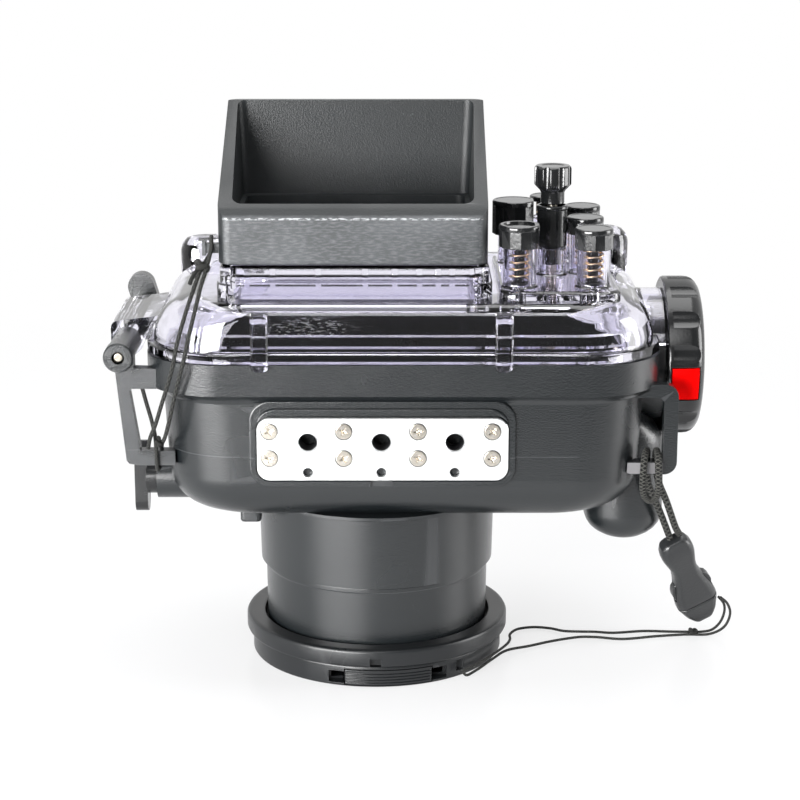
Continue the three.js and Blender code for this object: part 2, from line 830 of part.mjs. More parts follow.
// Tripod plate, its sockets and its cross-head screws
function tripodPlate() {
  const outline = rounded(plateLeft, plateRight, plateLowZ, plateHighZ, plateCorner);
  let plate = prism(outline, plateFaceY, plateBackY, 'y').subtract(tripodCuts());
  const sink = turned([
    [0, 0], [screwHead / 2 + fit, 0], [screwShank / 2 + fit, plateThick], [0, plateThick],
  ], 'y', [0, 0, 0], tinySteps);
  for (const place of screwPlaces()) plate = plate.subtract(sink.translate(place));
  return plate;
}
function plateScrew() {
  const slots = screwSlotLength / 2;
  let screw = turned([
    [0, 0], [screwHead / 2, 0], [screwShank / 2, plateThick], [screwShank / 2, screwLength],
    [0, screwLength],
  ], 'y', [0, 0, 0], tinySteps);
  for (const [x, z] of [[slots, screwSlot / 2], [screwSlot / 2, slots]]) {
    screw = screw.subtract(box(-x, x, -overrun, plateThick / 2, -z, z));
  }
  return screw;
}

// Left bracket: near hinge ear, its barrel, the arm to the rim and the strap loop in one moulding
function leftBracket() {
  const loopInner = leftLoopX + loopBar / 2;
  const bend = loopCorner / 2;
  const outline = polygon([
    [hingeX - earRadius / 2, hingeZ], [hingeX + earRadius, hingeZ], [hingeX + earRadius, armTopZ + fit],
    [cavityLeft, armTopZ], [cavityLeft, armTopZ - armThick], [loopInner - leftBarLean, armTopZ - armThick],
    [loopInner, leftLoopBarZ], [cavityLeft, leftLoopBarZ], [cavityLeft, leftLoopLowZ],
    [leftLoopX + bend, leftLoopLowZ], [leftLoopX - bend, leftLoopLowZ + bend],
    [hingeX - earRadius / 4, hingeZ - earRadius],
  ]);
  const far = nearEarY + nearEarThick;
  let bracket = softPrism(outline, loopNearY, far, fit, 'y');
  bracket = bracket.add(rod(earRadius, nearEarY, far, 'y', [hingeX, 0, hingeZ]));
  bracket = bracket.add(rod(barrelHinge, far - fit, knuckleNearY - fit, 'y', [hingeX, 0, hingeZ]));
  bracket = bracket.subtract(shellBody(fit));
  return bracket.subtract(rod(pinRadius + fit, nearEarY - overrun, knuckleNearY, 'y',
    [hingeX, 0, hingeZ], tinySteps));
}

// Right strap loop: a square-cornered bar that runs into the shell's corner
function rightLoop() {
  const inner = rightLoopX - loopBar;
  const root = cavityRight - wall;
  const outer = rounded(root, rightLoopX, rightLoopLowZ, rightLoopHighZ, loopCorner);
  const loop = softPrism(outer, loopNearY, loopNearY + loopBar, fit, 'y');
  const gap = rounded(root - loopCorner, inner, rightLoopLowZ + loopBar - fit,
    rightLoopHighZ - loopBar + fit, loopCorner / 2);
  const low = loopNearY - overrun;
  const high = loopNearY + loopBar + overrun;
  const inside = box(root - overrun, cavityRight - wall / 2, low, high, rightLoopLowZ - overrun,
    rightLoopHighZ + overrun);
  return loop.subtract(prism(gap, low, high, 'y')).subtract(shellBody(fit)).subtract(inside);
}

// Lock: the spindle through the shell's wall, the cam whose spiral rim draws the hook in, and the knob
function lockSpindle() {
  const start = cavityRight - fit;
  return turned([
    [0, start - spindleHeadThick], [spindleHead, start - spindleHeadThick], [spindleHead, start],
    [spindleRadius, start], [spindleRadius, spindleEndX], [0, spindleEndX],
  ], 'x', [0, lockY, lockZ], smallSteps);
}
function lockCam() {
  const bed = pipe(spindleRadius + fit, camOuter, camBackX, camFrontX, 'x', [0, lockY, lockZ], roundSteps);
  const hub = pipe(spindleRadius + fit, camHub, lockRecessX + fit, camBackX + fit, 'x', [0, lockY, lockZ]);
  const outline = [];
  const steps = roundSteps / 2;
  const start = quarter + degrees(camMouth);
  const sweep = 4 * quarter - 2 * degrees(camMouth);
  for (let i = 0; i <= steps; i++) {
    const angle = start + sweep * i / steps;
    outline.push([lockY + camOuter * Math.cos(angle), lockZ + camOuter * Math.sin(angle)]);
  }
  for (let i = steps; i >= 0; i--) {
    const angle = start + sweep * i / steps;
    const lead = Math.max(0, 1 - (1 - i / steps) / camLeadShare);
    const inner = THREE.MathUtils.lerp(camLipTight, camLipWide, lead);
    outline.push([lockY + inner * Math.cos(angle), lockZ + inner * Math.sin(angle)]);
  }
  const lip = prism(polygon(outline), lockRecessX + fit, camBackX + fit, 'x');
  return bed.add(hub).add(lip);
}
function knobBody() {
  const dishX = knobFrontX - knobDish;
  const profile = [[0, knobBackX], [knobRadius - knobBackFillet, knobBackX]];
  profile.push([knobRadius, knobBackX + knobBackFillet]);
  for (let step = 0; step <= filletSteps; step++) {
    const angle = quarter * step / filletSteps;
    const radius = knobRadius - knobFillet * (1 - Math.cos(angle));
    profile.push([radius, knobFrontX - knobFillet * (1 - Math.sin(angle))]);
  }
  profile.push([knobDishRadius, knobFrontX], [knobDishRadius - knobDish, dishX], [0, dishX]);
  return turned(profile, 'x', [0, lockY, lockZ], roundSteps);
}
function redBlock(margin, depth) {
  return box(redBackX - margin, redFrontX + margin, lockY - knobRadius - overrun, lockY - knobRadius + depth,
    redLowZ - margin, redHighZ + margin);
}
function lockKnob() {
  let knob = knobBody();
  for (let i = 0; i < knobFlutes; i++) {
    const angle = 4 * quarter * (i + 1 / 2) / knobFlutes;
    const reach = knobRadius + fluteRadius - fluteDepth;
    const centre = [0, lockY + reach * Math.cos(angle), lockZ + reach * Math.sin(angle)];
    const from = knobBackX + 2 * knobBackFillet;
    knob = knob.subtract(rod(fluteRadius, from, knobFrontX + overrun, 'x', centre, cordSides));
  }
  knob = knob.subtract(redBlock(fit, redDepth + redTravel + fit));
  return knob.subtract(rod(spindleRadius + fit, knobBackX - overrun, spindleEndX + fit, 'x',
    [0, lockY, lockZ]));
}
function redButton() {
  return knobBody().intersect(redBlock(0, redDepth));
}

// Zoom knob with two lobes, its shaft and the small gear inside
function zoomKnob() {
  const shape = new THREE.Shape();
  const lean = Math.asin((zoomLobe - zoomWaist) / zoomReach);
  shape.absarc(zoomY, zoomZ - zoomReach, zoomLobe, 2 * quarter - lean, 4 * quarter + lean);
  shape.lineTo(zoomY + zoomWaist, zoomZ);
  shape.absarc(zoomY, zoomZ + zoomReach, zoomLobe, -lean, 2 * quarter + lean);
  shape.lineTo(zoomY - zoomWaist, zoomZ);
  const wing = softPrism(shape, zoomKnobOuterX, zoomHubX + overrun, 2 * fit, 'x');
  const hub = rod(zoomHubRadius, zoomHubX, zoomBossX - fit, 'x', [0, zoomY, zoomZ]);
  return wing.add(hub).subtract(rod(zoomShaftRadius + fit, zoomHubX - fit, zoomBossX, 'x',
    [0, zoomY, zoomZ], tinySteps));
}
function zoomGear() {
  const outline = [];
  for (let i = 0; i < zoomTeeth; i++) {
    for (const [share, radius] of [[0, 0], [1 / 4, 0], [1 / 2, 1], [3 / 4, 1]]) {
      const angle = 4 * quarter * (i + share) / zoomTeeth;
      const reach = zoomGearRadius - zoomGearTooth * (1 - radius);
      outline.push([zoomY + reach * Math.cos(angle), zoomZ + reach * Math.sin(angle)]);
    }
  }
  return prism(polygon(outline), zoomGearX, zoomGearX + zoomGearWidth, 'x')
    .subtract(rod(zoomShaftRadius + fit, zoomGearX - overrun, zoomGearX + zoomGearWidth + overrun, 'x',
      [0, zoomY, zoomZ], tinySteps));
}

// Top side: shutter button and mode knob, each on a stem through its boss
const topSeatY = rimFar + topBossProud + fit;
function topButton(radius, height, travel, stem, x, z) {
  const edge = radius / 6;
  const foot = cavityFar - topStemReach;
  const seat = topSeatY + travel;
  return turned([
    [0, foot], [stem, foot], [stem, seat], [radius, seat], [radius, seat + height - edge],
    [radius - edge, seat + height], [0, seat + height],
  ], 'y', [x, 0, z], smallSteps);
}
function fluted(shape, count, radius, reach, from, to, axis, centre) {
  let cut = shape;
  for (let i = 0; i < count; i++) {
    const angle = 4 * quarter * i / count;
    const [a, b] = [reach * Math.cos(angle), reach * Math.sin(angle)];
    const at = axis === 'y' ? [centre[0] + a, 0, centre[2] + b] : [centre[0] + a, centre[1] + b, 0];
    cut = cut.subtract(rod(radius, from, to, axis, at, fluteSteps));
  }
  return cut;
}

// Camera pads, flat on the shell's floor
function pad(x, y) {
  const reach = padWidth / 2;
  const outline = rounded(x - reach, x + reach, y - padLength / 2, y + padLength / 2, padCorner);
  return prism(outline, cavityFloorZ + fit, cavityFloorZ + fit + padHeight);
}

// Clear cover: one outer form, and an inner form a wall smaller
const coverLowZ = partingZ + fit;
function domeRings(inset) {
  // Shares of the shoulder's height, and of its draws from the left, the right and the long edges
  const base = coverLowZ + skirtHeight;
  return domeShares.map(([height, left, right, edge], i) => {
    const level = THREE.MathUtils.lerp(base, shoulderZ, height) - (i ? inset : 0);
    const fromLeft = left * domeLeft + inset;
    const fromRight = right * domeRight + inset;
    const fromEdge = skirtInset / 2 + edge * domeEdge + inset;
    return ring(level, rimLeft + skirtInset + fromLeft, rimRight - skirtInset - fromRight,
      rimNear + fromEdge, rimFar - fromEdge, rimCorner - skirtInset / 2 - fromLeft);
  });
}
function raised(inset, left, right, near, far, top, corner, bottom = shoulderZ) {
  const crest = corner / 4;
  const rings = [bottom - wall, top - crest, top].map((level, i) => {
    const draw = i === 2 ? crest : 0;
    return ring(level - (i ? inset : 0), left + inset + draw, right - inset - draw,
      near + inset + draw, far - inset - draw, corner - inset / 2 - draw);
  });
  return loft(rings);
}
function column(inset) {
  return loft([coverLowZ, humpTopZ + overrun].map((level) => ring(level, rimLeft + skirtInset + inset,
    rimRight - skirtInset - inset, rimNear + skirtInset / 2 + inset, rimFar - skirtInset / 2 - inset,
    rimCorner - skirtInset / 2 - inset)));
}
function coverForm(inset) {
  const skirtTopZ = coverLowZ + skirtHeight;
  let form = inset
    ? loft([coverLowZ - overrun, skirtTopZ + overrun].map((level) => ring(level, cavityLeft, cavityRight,
      cavityNear, cavityFar, bodyCorner - wall)))
    : loft([[coverLowZ, 0], [skirtTopZ - fit, 0], [skirtTopZ, fit]].map(([level, draw]) => ring(level,
      rimLeft + draw, rimRight - draw, rimNear + draw, rimFar - draw, rimCorner - draw)));
  form = form.add(loft(domeRings(inset)));
  form = form.add(raised(inset, screenLeft, screenRight, screenNear, screenFar, screenTopZ, screenCorner));
  form = form.add(raised(inset, buttonLeft, buttonRight, buttonNear, buttonFar, buttonTopZ, buttonCorner));
  const eye = raised(inset, eyeLeft, eyeRight, eyeNear, eyeFar, eyeTopZ, humpCorner, skirtTopZ);
  const hump = raised(inset, humpLeft, humpRight, humpNear, eyeFar, humpTopZ, humpCorner, skirtTopZ);
  return form.add(eye.add(hump).intersect(column(inset)));
}

// Cover's knuckle on the hinge and its square-shouldered arm
function knuckle() {
  const shape = new THREE.Shape();
  const armEnd = rimLeft + wall;
  shape.moveTo(hingeX - knuckleRadius, hingeZ);
  shape.absarc(hingeX, hingeZ, knuckleRadius, 2 * quarter, 4 * quarter);
  shape.lineTo(hingeX + knuckleRadius, coverLowZ);
  shape.lineTo(armEnd, coverLowZ);
  shape.lineTo(armEnd, knuckleRootZ);
  shape.lineTo(hingeX - knuckleRadius, knuckleTopZ);
  return prism(shape, knuckleNearY, knuckleFarY, 'y')
    .subtract(rod(pinRadius + fit, knuckleNearY - overrun, knuckleFarY + overrun, 'y',
      [hingeX, 0, hingeZ], tinySteps));
}

// Cover's half of the lock: the clear half collar, the thickened wall and the hook that the cam holds
function sector(inner, outer, halfTurn, from, to) {
  const outline = [];
  const steps = roundSteps / 4;
  for (const [radius, turn] of [[outer, 1], [inner, -1]]) {
    for (let i = 0; i <= steps; i++) {
      const angle = quarter + turn * halfTurn * (1 - 2 * i / steps);
      outline.push([lockY + radius * Math.cos(angle), lockZ + radius * Math.sin(angle)]);
    }
  }
  return prism(polygon(outline), from, to, 'x');
}
function latch() {
  const reach = Math.acos((coverLowZ - lockZ) / collarOuter);
  const above = box(cavityRight - wall, collarEndX + overrun, lockY - collarOuter - overrun,
    lockY + collarOuter + overrun, coverLowZ, lockZ + collarOuter + overrun);
  const tongue = sector(collarInner, collarOuter, reach + fit / collarOuter, cavityRight, collarEndX)
    .intersect(above);
  const block = sector(hookInner - 2 * wall, collarInner, reach, cavityRight - wall / 2, lockRecessX)
    .intersect(above);
  const hook = sector(hookInner, hookOuter, degrees(hookHalfTurn), lockRecessX - fit, camBackX - fit);
  return { tongue, block, hook };
}

// One row for each button; a flat as wide as the radius cuts nothing
function buttonRow(name, x, y, radius, topZ, lowZ, flat = radius, dish = 0) {
  return { name: `${name}_button`, x, y, radius, flat, topZ, lowZ, dish };
}
const buttons = [
  buttonRow('menu', menuX, menuY, menuRadius, menuTopZ, menuLowZ, menuFlat, menuDish),
  buttonRow('playback', playbackX, playbackY, playbackRadius, playbackTopZ, playbackLowZ),
  buttonRow('display', displayX, displayY, buttonRadius, displayTopZ, plainLowZ),
  buttonRow('movie', movieX, movieY, buttonRadius, movieTopZ, plainLowZ),
  buttonRow('function', functionX, functionY, functionRadius, functionTopZ, functionLowZ, functionFlat),
  buttonRow('exposure', exposureX, exposureY, exposureRadius, exposureTopZ, plainLowZ),
];

function rearCover() {
  const recess = rod(collarInner, lockRecessX, collarEndX + knobRadius, 'x', [0, lockY, lockZ], roundSteps);
  const { tongue, block, hook } = latch();
  let cover = coverForm(0).subtract(coverForm(wall)).add(block).subtract(recess).add(tongue).add(hook);
  cover = cover.add(knuckle());
  for (const x of [clipLeftX, clipRightX]) {
    const rib = rounded(x - clipWidth / 2, x + clipWidth / 2, clipLowZ, clipHighZ, clipWidth / 3);
    cover = cover.add(softPrism(rib, rimNear - fit - clipProud, rimNear - fit, fit, 'y'));
    cover = cover.add(box(x - clipWidth / 2, x + clipWidth / 2, rimNear - 2 * fit, rimNear + skirtInset,
      coverLowZ, clipHighZ - fit));
  }
  const step = raised(0, screenLeft - screenStep, screenRight + screenStep, screenNear - screenStep,
    screenFar + screenStep, screenStepZ, screenCorner + screenStep);
  cover = cover.add(step.subtract(coverForm(wall)));
  for (const x of screenRibs) {
    cover = cover.add(box(x - screenRibWidth / 2, x + screenRibWidth / 2, screenNear - screenStep,
      screenNear + overrun, screenStepZ - fit, screenTopZ - screenCorner / 4));
  }
  const bore = stemHoleRadius;
  for (const { x, y } of buttons) {
    cover = cover.add(rod(cupRadius, buttonTopZ - overrun, cupTopZ, 'z', [x, y, 0]));
  }
  cover = cover.add(rod(cupRadius - fit, buttonTopZ - overrun, dialCupTopZ, 'z', [dialX, dialY, 0]));
  for (const { x, y } of buttons) {
    cover = cover.subtract(rod(cupBore, buttonTopZ, cupTopZ + overrun, 'z', [x, y, 0]));
    cover = cover.subtract(rod(bore, buttonTopZ - wall - overrun, buttonTopZ + overrun, 'z',
      [x, y, 0], tinySteps));
  }
  cover = cover.subtract(rod(dialSpigot + fit, buttonTopZ, dialCupTopZ + overrun, 'z', [dialX, dialY, 0]));
  return cover.subtract(rod(dialStem + fit, buttonTopZ - wall - overrun, buttonTopZ + overrun, 'z',
    [dialX, dialY, 0], tinySteps));
}

// Hood round the screen: four walls, the far one the tallest, and the lug that its lanyard is tied to
function hood() {
  const seat = screenTopZ + fit;
  const side = polygon([
    [hoodNear, seat], [hoodFar, seat], [hoodFar, hoodFarTopZ], [hoodFar - hoodWall, hoodFarTopZ],
    [hoodNear + hoodWall, hoodNearTopZ], [hoodNear, hoodNearTopZ],
  ]);
  const block = softPrism(side, hoodLeft, hoodRight, hoodWall / 4, 'x');
  const levels = [[seat - overrun, hoodSeatWall], [hoodFarTopZ + overrun, hoodWall]];
  const rings = levels.map(([level, inset]) => ring(level, hoodLeft + inset, hoodRight - inset,
    hoodNear + inset, hoodFar - inset, hoodCorner));
  const arm = box(hoodLeft - lugReach, hoodLeft + hoodWall / 2, lugY - lugSize / 2, lugY + lugSize / 2,
    lugZ - lugSize / 2, lugZ + lugSize / 2);
  const flange = box(hoodLeft - lugReach, hoodLeft - lugReach + lugFlangeThick, lugY - lugFlange / 2,
    lugY + lugFlange / 2, lugZ - lugFlange / 2, lugZ + lugFlange / 2);
  return block.subtract(loft(rings)).add(arm).add(flange);
}

// Button caps are hollow and slide down over their cups; the stem runs through the cover
function buttonCap({ radius, flat, topZ, lowZ, dish }) {
  const edge = buttonSkin / 3;
  const ceiling = topZ - buttonSkin;
  let cap = rod(radius, lowZ, topZ - edge, 'z', [0, 0, 0], smallSteps);
  cap = cap.add(turned([[0, topZ - edge], [radius, topZ - edge], [radius - edge, topZ], [0, topZ]], 'z',
    [0, 0, 0], smallSteps));
  if (flat < radius) {
    cap = cap.subtract(box(flat, radius + overrun, -radius - overrun, radius + overrun, lowZ - overrun,
      topZ + overrun));
  }
  cap = cap.subtract(rod(buttonHollow, lowZ - overrun, ceiling, 'z', [0, 0, 0], smallSteps));
  if (dish) {
    cap = cap.subtract(rod(radius - buttonSkin, topZ - dish, topZ + overrun, 'z', [0, 0, 0], smallSteps));
  }
  return cap.add(rod(buttonStem, stemEndZ, ceiling + edge, 'z', [0, 0, 0], tinySteps));
}

// A coil spring as one unbroken wire, with its least gap measured between neighbouring curls
class Coil extends THREE.Curve {
  constructor(radius, fromZ, toZ, curls) {
    super();
    Object.assign(this, { radius, fromZ, toZ, curls });
  }
  getPoint(t, target = new THREE.Vector3()) {
    const angle = 4 * quarter * this.curls * t;
    return target.set(this.radius * Math.cos(angle), this.radius * Math.sin(angle),
      THREE.MathUtils.lerp(this.fromZ, this.toZ, t));
  }
}
function wireSection(width, sides) {
  const points = [];
  for (let i = 0; i < sides; i++) {
    const angle = 4 * quarter * i / sides;
    points.push([width / 2 * Math.cos(angle), width / 2 * Math.sin(angle)]);
  }
  return polygon(points);
}
function leastGap(points, width) {
  let least = Infinity;
  const near = 3 * width;
  const step = points[0].distanceTo(points[1]);
  const skip = Math.ceil(near / step);
  for (let i = 0; i < points.length; i++) {
    for (let j = i + skip; j < points.length; j++) least = Math.min(least, points[i].distanceTo(points[j]));
  }
  return least - width;
}
function spring(lowZ, highZ) {
  const curve = new Coil(springRadius, lowZ + springWire / 2, highZ - springWire / 2, springCurls);
  const pitch = (highZ - lowZ - springWire) / springCurls;
  return {
    shape: solid(new THREE.ExtrudeGeometry(wireSection(springWire, wireSides), {
      steps: springCurls * curlSteps, extrudePath: curve,
    })),
    gap: pitch - springWire,
  };
}

// A free cord through points chosen by hand
function cord(points, width, steps) {
  const curve = new THREE.CatmullRomCurve3(points.map((p) => new THREE.Vector3(...p)), false, 'centripetal');
  const section = wireSection(width, cordSides);
  const shape = solid(new THREE.ExtrudeGeometry(section, { steps, extrudePath: curve }));
  return { shape, length: curve.getLength(), gap: leastGap(curve.getSpacedPoints(cordChecks), width) };
}

// Elastic lanyard of the hood: from the bracket's arm round the loop's bar, up to the lug and back
const hoodCordPoints = [
  [-65.2, -30.6, 87], [-64.2, -30.8, 83], [-62.8, -31.4, 78], [-61.8, -32.4, 73.6], [-61.5, -33.6, 70.4],
  [-61.4, -33.9, 67], [-61.3, -33, 64.2], [-61.1, -30.6, 63.8], [-60.9, -27.8, 65], [-60.7, -27.2, 68.4],
  [-60.2, -29.2, 71], [-59.7, -32.6, 72], [-58.6, -35.8, 74.5], [-57, -38.6, 80], [-55.2, -41.2, 87],
  [-53.6, -43.1, 93], [-52.2, -43.8, 98], [-50.6, -43, 105], [-49, -40.6, 111.5], [-47.6, -36.2, 117.5],
  [-46.4, -32.2, 121.5], [-45.6, -29.8, 124.6], [-45.2, -28.8, 126.6], [-45.2, -27.4, 129.1],
  [-45.4, -25.4, 129.1], [-45.7, -24.1, 126.6], [-46, -24.3, 124.3], [-46.5, -26.2, 123.4],
  [-47, -29.2, 122.6], [-48.4, -33, 120], [-50, -37.6, 115.5], [-51.8, -41.2, 110],
  [-53.8, -43.6, 103], [-55.2, -43.8, 96.5],
  [-57, -42, 90.5], [-59.2, -39, 84], [-61.2, -36.6, 78], [-63, -34.6, 73.6], [-63.8, -32.4, 70.2],
];

// Braided wrist cord, hitched round the right loop's lower bar; both its ends run into the buckle
const wristCordPoints = [
  [86.3, -12.5, 37.1], [84.4, -15.8, 42], [82.2, -19.2, 47.5], [79.8, -23, 53], [78, -25.6, 57.4],
  [77.2, -26.8, 61.4], [77.1, -26.9, 65], [77, -28.3, 68.2], [76.2, -31.6, 68.4], [75.6, -34.1, 66.4],
  [75.4, -34.4, 62.5], [75.5, -34, 58.8], [76.3, -33.3, 56], [77.9, -32.9, 54.9], [79.3, -33.3, 56],
  [79.9, -34, 58.8], [79.7, -34.4, 62.8], [79.6, -34.1, 66.4], [79.6, -31.6, 68.3], [79.6, -28.3, 68.2],
  [79.6, -26.9, 65], [80.1, -26.3, 61], [81.5, -24.1, 56.6], [83.6, -21, 51.7], [85.8, -17.4, 45.8],
  [87.6, -14.4, 41], [89, -12.1, 38.3],
];

// Thin lanyard of the port cap: one loop from the buckle across the table to the cap's hole and back
const capCordPoints = [
  [103.9, 5.2, 12.6], [105.8, 6.3, 10], [106.2, 7.6, 6.6], [105, 7.9, 3.2], [102.6, 7.3, 1.2],
  [99.4, 6.8, 0.7], [95, 7, 0.6], [90, 7.4, 0.5], [81.9, 7.9, 0.5], [72, 5.8, 0.7], [66.4, 4, 1.7],
  [62, 4.2, 1.7], [57, 7.5, 0.7],
  [53.2, 10.3, 0.5], [48, 11.3, 0.5], [43.3, 9.7, 0.5], [40.6, 4, 1], [40.2, -3, 2], [39.1, -9.4, 3],
  [36.3, -17, 3.8], [31.8, -24.4, 3.7], [27.4, -29.4, 3.2], [25.3, -30.8, 2.6], [26, -31.2, 1.6],
  [29.2, -27.2, 1.5], [34.2, -18.6, 1.6], [39, -10, 1.1], [45.9, -4.9, 0.5], [52, -1.3, 0.5], [56.8, 1, 0.5],
  [62, 2.8, 0.5], [67, 2.6, 0.5], [74.2, 1, 0.5], [85.1, 3.4, 0.5], [94, 4.9, 0.5], [102, 5.1, 0.7],
  [106.2, 5.8, 2.8], [107.8, 6, 6.8], [106.6, 4.8, 10.6], [104.3, 3.7, 13],
];

// Buckle between the cords: a waisted body and the clip pushed into it, each lofted along its length
function buckleLoft(rows) {
  return loft(rows.map(([place, breadth, depth]) => {
    const half = breadth * buckleWidth / 2;
    const thick = depth * buckleThick;
    return ring(place * buckleLength, -half, half, -thick, thick, thick * buckleCornerShare);
  }));
}
function buckleBody() {
  const socket = box(-socketHalf, socketHalf, -socketThick, socketThick, socketStart, buckleSplit + overrun);
  const windows = box(-buckleWidth, buckleWidth, -socketThick, socketThick, lugStart - fit, lugEnd + fit);
  return buckleLoft(buckleBodyShares).subtract(socket).subtract(windows);
}
function buckleClip() {
  let clip = buckleLoft(buckleClipShares);
  const half = socketThick - fit;
  for (const side of [-1, 1]) {
    const prong = polygon([
      [side * prongIn, buckleSplit + overrun], [side * prongIn, socketStart + wall],
      [side * prongOut, lugStart], [side * lugOut, lugStart + overrun],
      [side * (lugOut + overrun), lugEnd - wall], [side * lugOut, lugEnd], [side * prongOut, lugEnd],
      [side * prongOut, buckleSplit + overrun],
    ]);
    clip = clip.add(prism(prong, -half, half, 'y'));
  }
  return clip;
}

// Assembly, from the shell outward
piece('front_shell', frontShell(), blackPlastic);
piece('port_barrel', portBarrel(), blackPlastic);
piece('port_ring', portRing(), blackSatin);
piece('port_glass', portGlass(), portGlassFinish);
piece('port_seal', portSeal(), sealRubber);
piece('main_seal', mainSeal(), sealRubber);
piece('tripod_plate', tripodPlate(), aluminium);
screwPlaces().forEach(([x, y, z], i) => {
  piece(`plate_screw_${i + 1}`, plateScrew(), steel).position.set(x, y, z);
});
piece('hinge_pin', rod(pinRadius, nearEarY + pinInset, farEarY - 2 * pinInset, 'y',
  [hingeX, 0, hingeZ], tinySteps), steel);
piece('left_strap_bracket', leftBracket(), blackPlastic);
piece('right_strap_loop', rightLoop(), blackPlastic);
piece('lock_spindle', lockSpindle(), steel);
piece('camera_pad_left', pad(leftPadX, leftPadY), padRubber);
piece('camera_pad_right', pad(rightPadX, rightPadY), padRubber);

piece('lock_cam', lockCam(), blackSatin);
piece('lock_knob', lockKnob(), blackSatin);
piece('lock_release', redButton(), redPlastic);

piece('zoom_knob', zoomKnob(), blackPlastic);
piece('zoom_shaft', rod(zoomShaftRadius, zoomHubX, zoomGearX + zoomGearWidth + wall / 2, 'x',
  [0, zoomY, zoomZ], tinySteps), steel);
piece('zoom_gear', zoomGear(), blackPlastic);

const cap = new THREE.Group();
cap.rotation.z = degrees(capTurn);
housing.add(cap);
piece('port_cap', portCap(), blackSatin, cap);
piece('port_cap_tab', capTab(), blackSatin, cap);

piece('shutter_button', topButton(shutterRadius, shutterHeight, shutterTravel, shutterStem,
  shutterX, shutterZ), blackSatin);
const modeBody = topButton(modeRadius, modeHeight, 0, modeShaft, modeX, modeZ);
piece('mode_knob', fluted(modeBody, modeFlutes, modeFlute, modeRadius + modeFlute / 2, topSeatY + modeFlute,
  topSeatY + modeHeight + overrun, 'y', [modeX, 0, modeZ]), blackSatin);

piece('rear_cover', rearCover(), clearPlastic, back);
piece('lcd_hood', hood(), hoodPlastic, back);
const springGaps = [];
for (const button of buttons) {
  const controls = new THREE.Group();
  controls.position.set(button.x, button.y, 0);
  back.add(controls);
  piece(button.name, buttonCap(button), blackSatin, controls);
  const sealTopZ = buttonTopZ + fit + stemSealThick;
  piece(`${button.name}_seal`, pipe(stemHoleRadius, stemSealRadius, buttonTopZ + fit, sealTopZ, 'z',
    [0, 0, 0], tinySteps), sealRubber, controls);
  const coil = spring(sealTopZ + fit, button.topZ - buttonSkin - fit);
  springGaps.push(coil.gap);
  piece(`${button.name}_spring`, coil.shape, springSteel, controls);
}

// The dial: a sleeve in the cover, the stem that slides in it and the head on the stem
const dial = new THREE.Group();
dial.position.set(dialX, dialY, 0);
back.add(dial);
const neckSeatZ = dialNeckZ - dialTravel - fit;
piece('dial_sleeve', turned([
  [dialStem + fit, buttonTopZ + wall], [dialSpigot, buttonTopZ + wall], [dialSpigot, dialCupTopZ + fit],
  [sleeveRadius, dialCupTopZ + fit], [sleeveRadius, sleeveTopZ], [sleeveBore, sleeveTopZ],
  [sleeveBore, neckSeatZ], [dialStem + fit, neckSeatZ], [dialStem + fit, buttonTopZ + wall],
], 'z', [0, 0, 0], smallSteps), blackSatin, dial);
const footTopZ = buttonTopZ - 2 * wall - fit;
piece('dial_stem', turned([
  [0, footTopZ - dialFootHeight], [dialFootRadius, footTopZ - dialFootHeight], [dialFootRadius, footTopZ],
  [dialStem, footTopZ], [dialStem, dialHeadZ + wall / 2], [0, dialHeadZ + wall / 2],
], 'z', [0, 0, 0], tinySteps), steel, dial);
const headEdge = dialFlute / 2;
const dialHead = turned([
  [0, dialNeckZ], [dialNeckRadius, dialNeckZ], [dialNeckRadius, dialHeadZ - dialFlute],
  [dialHeadRadius, dialHeadZ + dialFlute / 2], [dialHeadRadius, dialTopZ - headEdge],
  [dialHeadRadius - headEdge, dialTopZ], [0, dialTopZ],
], 'z', [0, 0, 0], 2 * smallSteps);
const dialBore = rod(dialStem + fit, dialNeckZ - overrun, dialHeadZ + wall / 2 + fit, 'z',
  [0, 0, 0], tinySteps);
const dialFluted = fluted(dialHead, dialFlutes, dialFlute, dialHeadRadius + dialFlute / 2,
  dialHeadZ - dialFlute, dialTopZ + overrun, 'z', [0, 0, 0]);
piece('dial_knob', dialFluted.subtract(dialBore), blackSatin, dial);

// Lanyards and the buckle
const hoodCord = cord(hoodCordPoints, hoodCordWidth, hoodCordSteps);
const wristCord = cord(wristCordPoints, wristCordWidth, wristCordSteps);
const capCord = cord(capCordPoints, capCordWidth, capCordSteps);
piece('hood_lanyard', hoodCord.shape, cordFibre);
piece('wrist_cord', wristCord.shape, cordFibre);
piece('cap_lanyard', capCord.shape, cordFibre);
const buckle = new THREE.Group();
const buckleAxis = new THREE.Vector3(...buckleTip).sub(new THREE.Vector3(...buckleTop)).normalize();
const buckleFacing = new THREE.Vector3(...buckleView);
const buckleSide = new THREE.Vector3().crossVectors(buckleAxis, buckleFacing).normalize();
const buckleBack = new THREE.Vector3().crossVectors(buckleAxis, buckleSide);
buckle.setRotationFromMatrix(new THREE.Matrix4().makeBasis(buckleSide, buckleBack, buckleAxis));
buckle.position.set(...buckleTop);
housing.add(buckle);
piece('buckle_body', buckleBody(), blackPlastic, buckle);
piece('buckle_clip', buckleClip(), blackPlastic, buckle);

const millimetres = (value) => value.toFixed(2);
console.log(`least gap between spring curls ${millimetres(Math.min(...springGaps))} mm`);
for (const [name, made] of Object.entries({ hoodCord, wristCord, capCord })) {
  console.log(`${name}: ${millimetres(made.length)} mm long, gap to itself ${millimetres(made.gap)} mm`);
}

export default housing;
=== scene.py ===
# Underwater camera housing: black moulded front, clear hinged back, hood, buttons, port with its cap.
import bpy
import math
from mathutils import Matrix, Vector


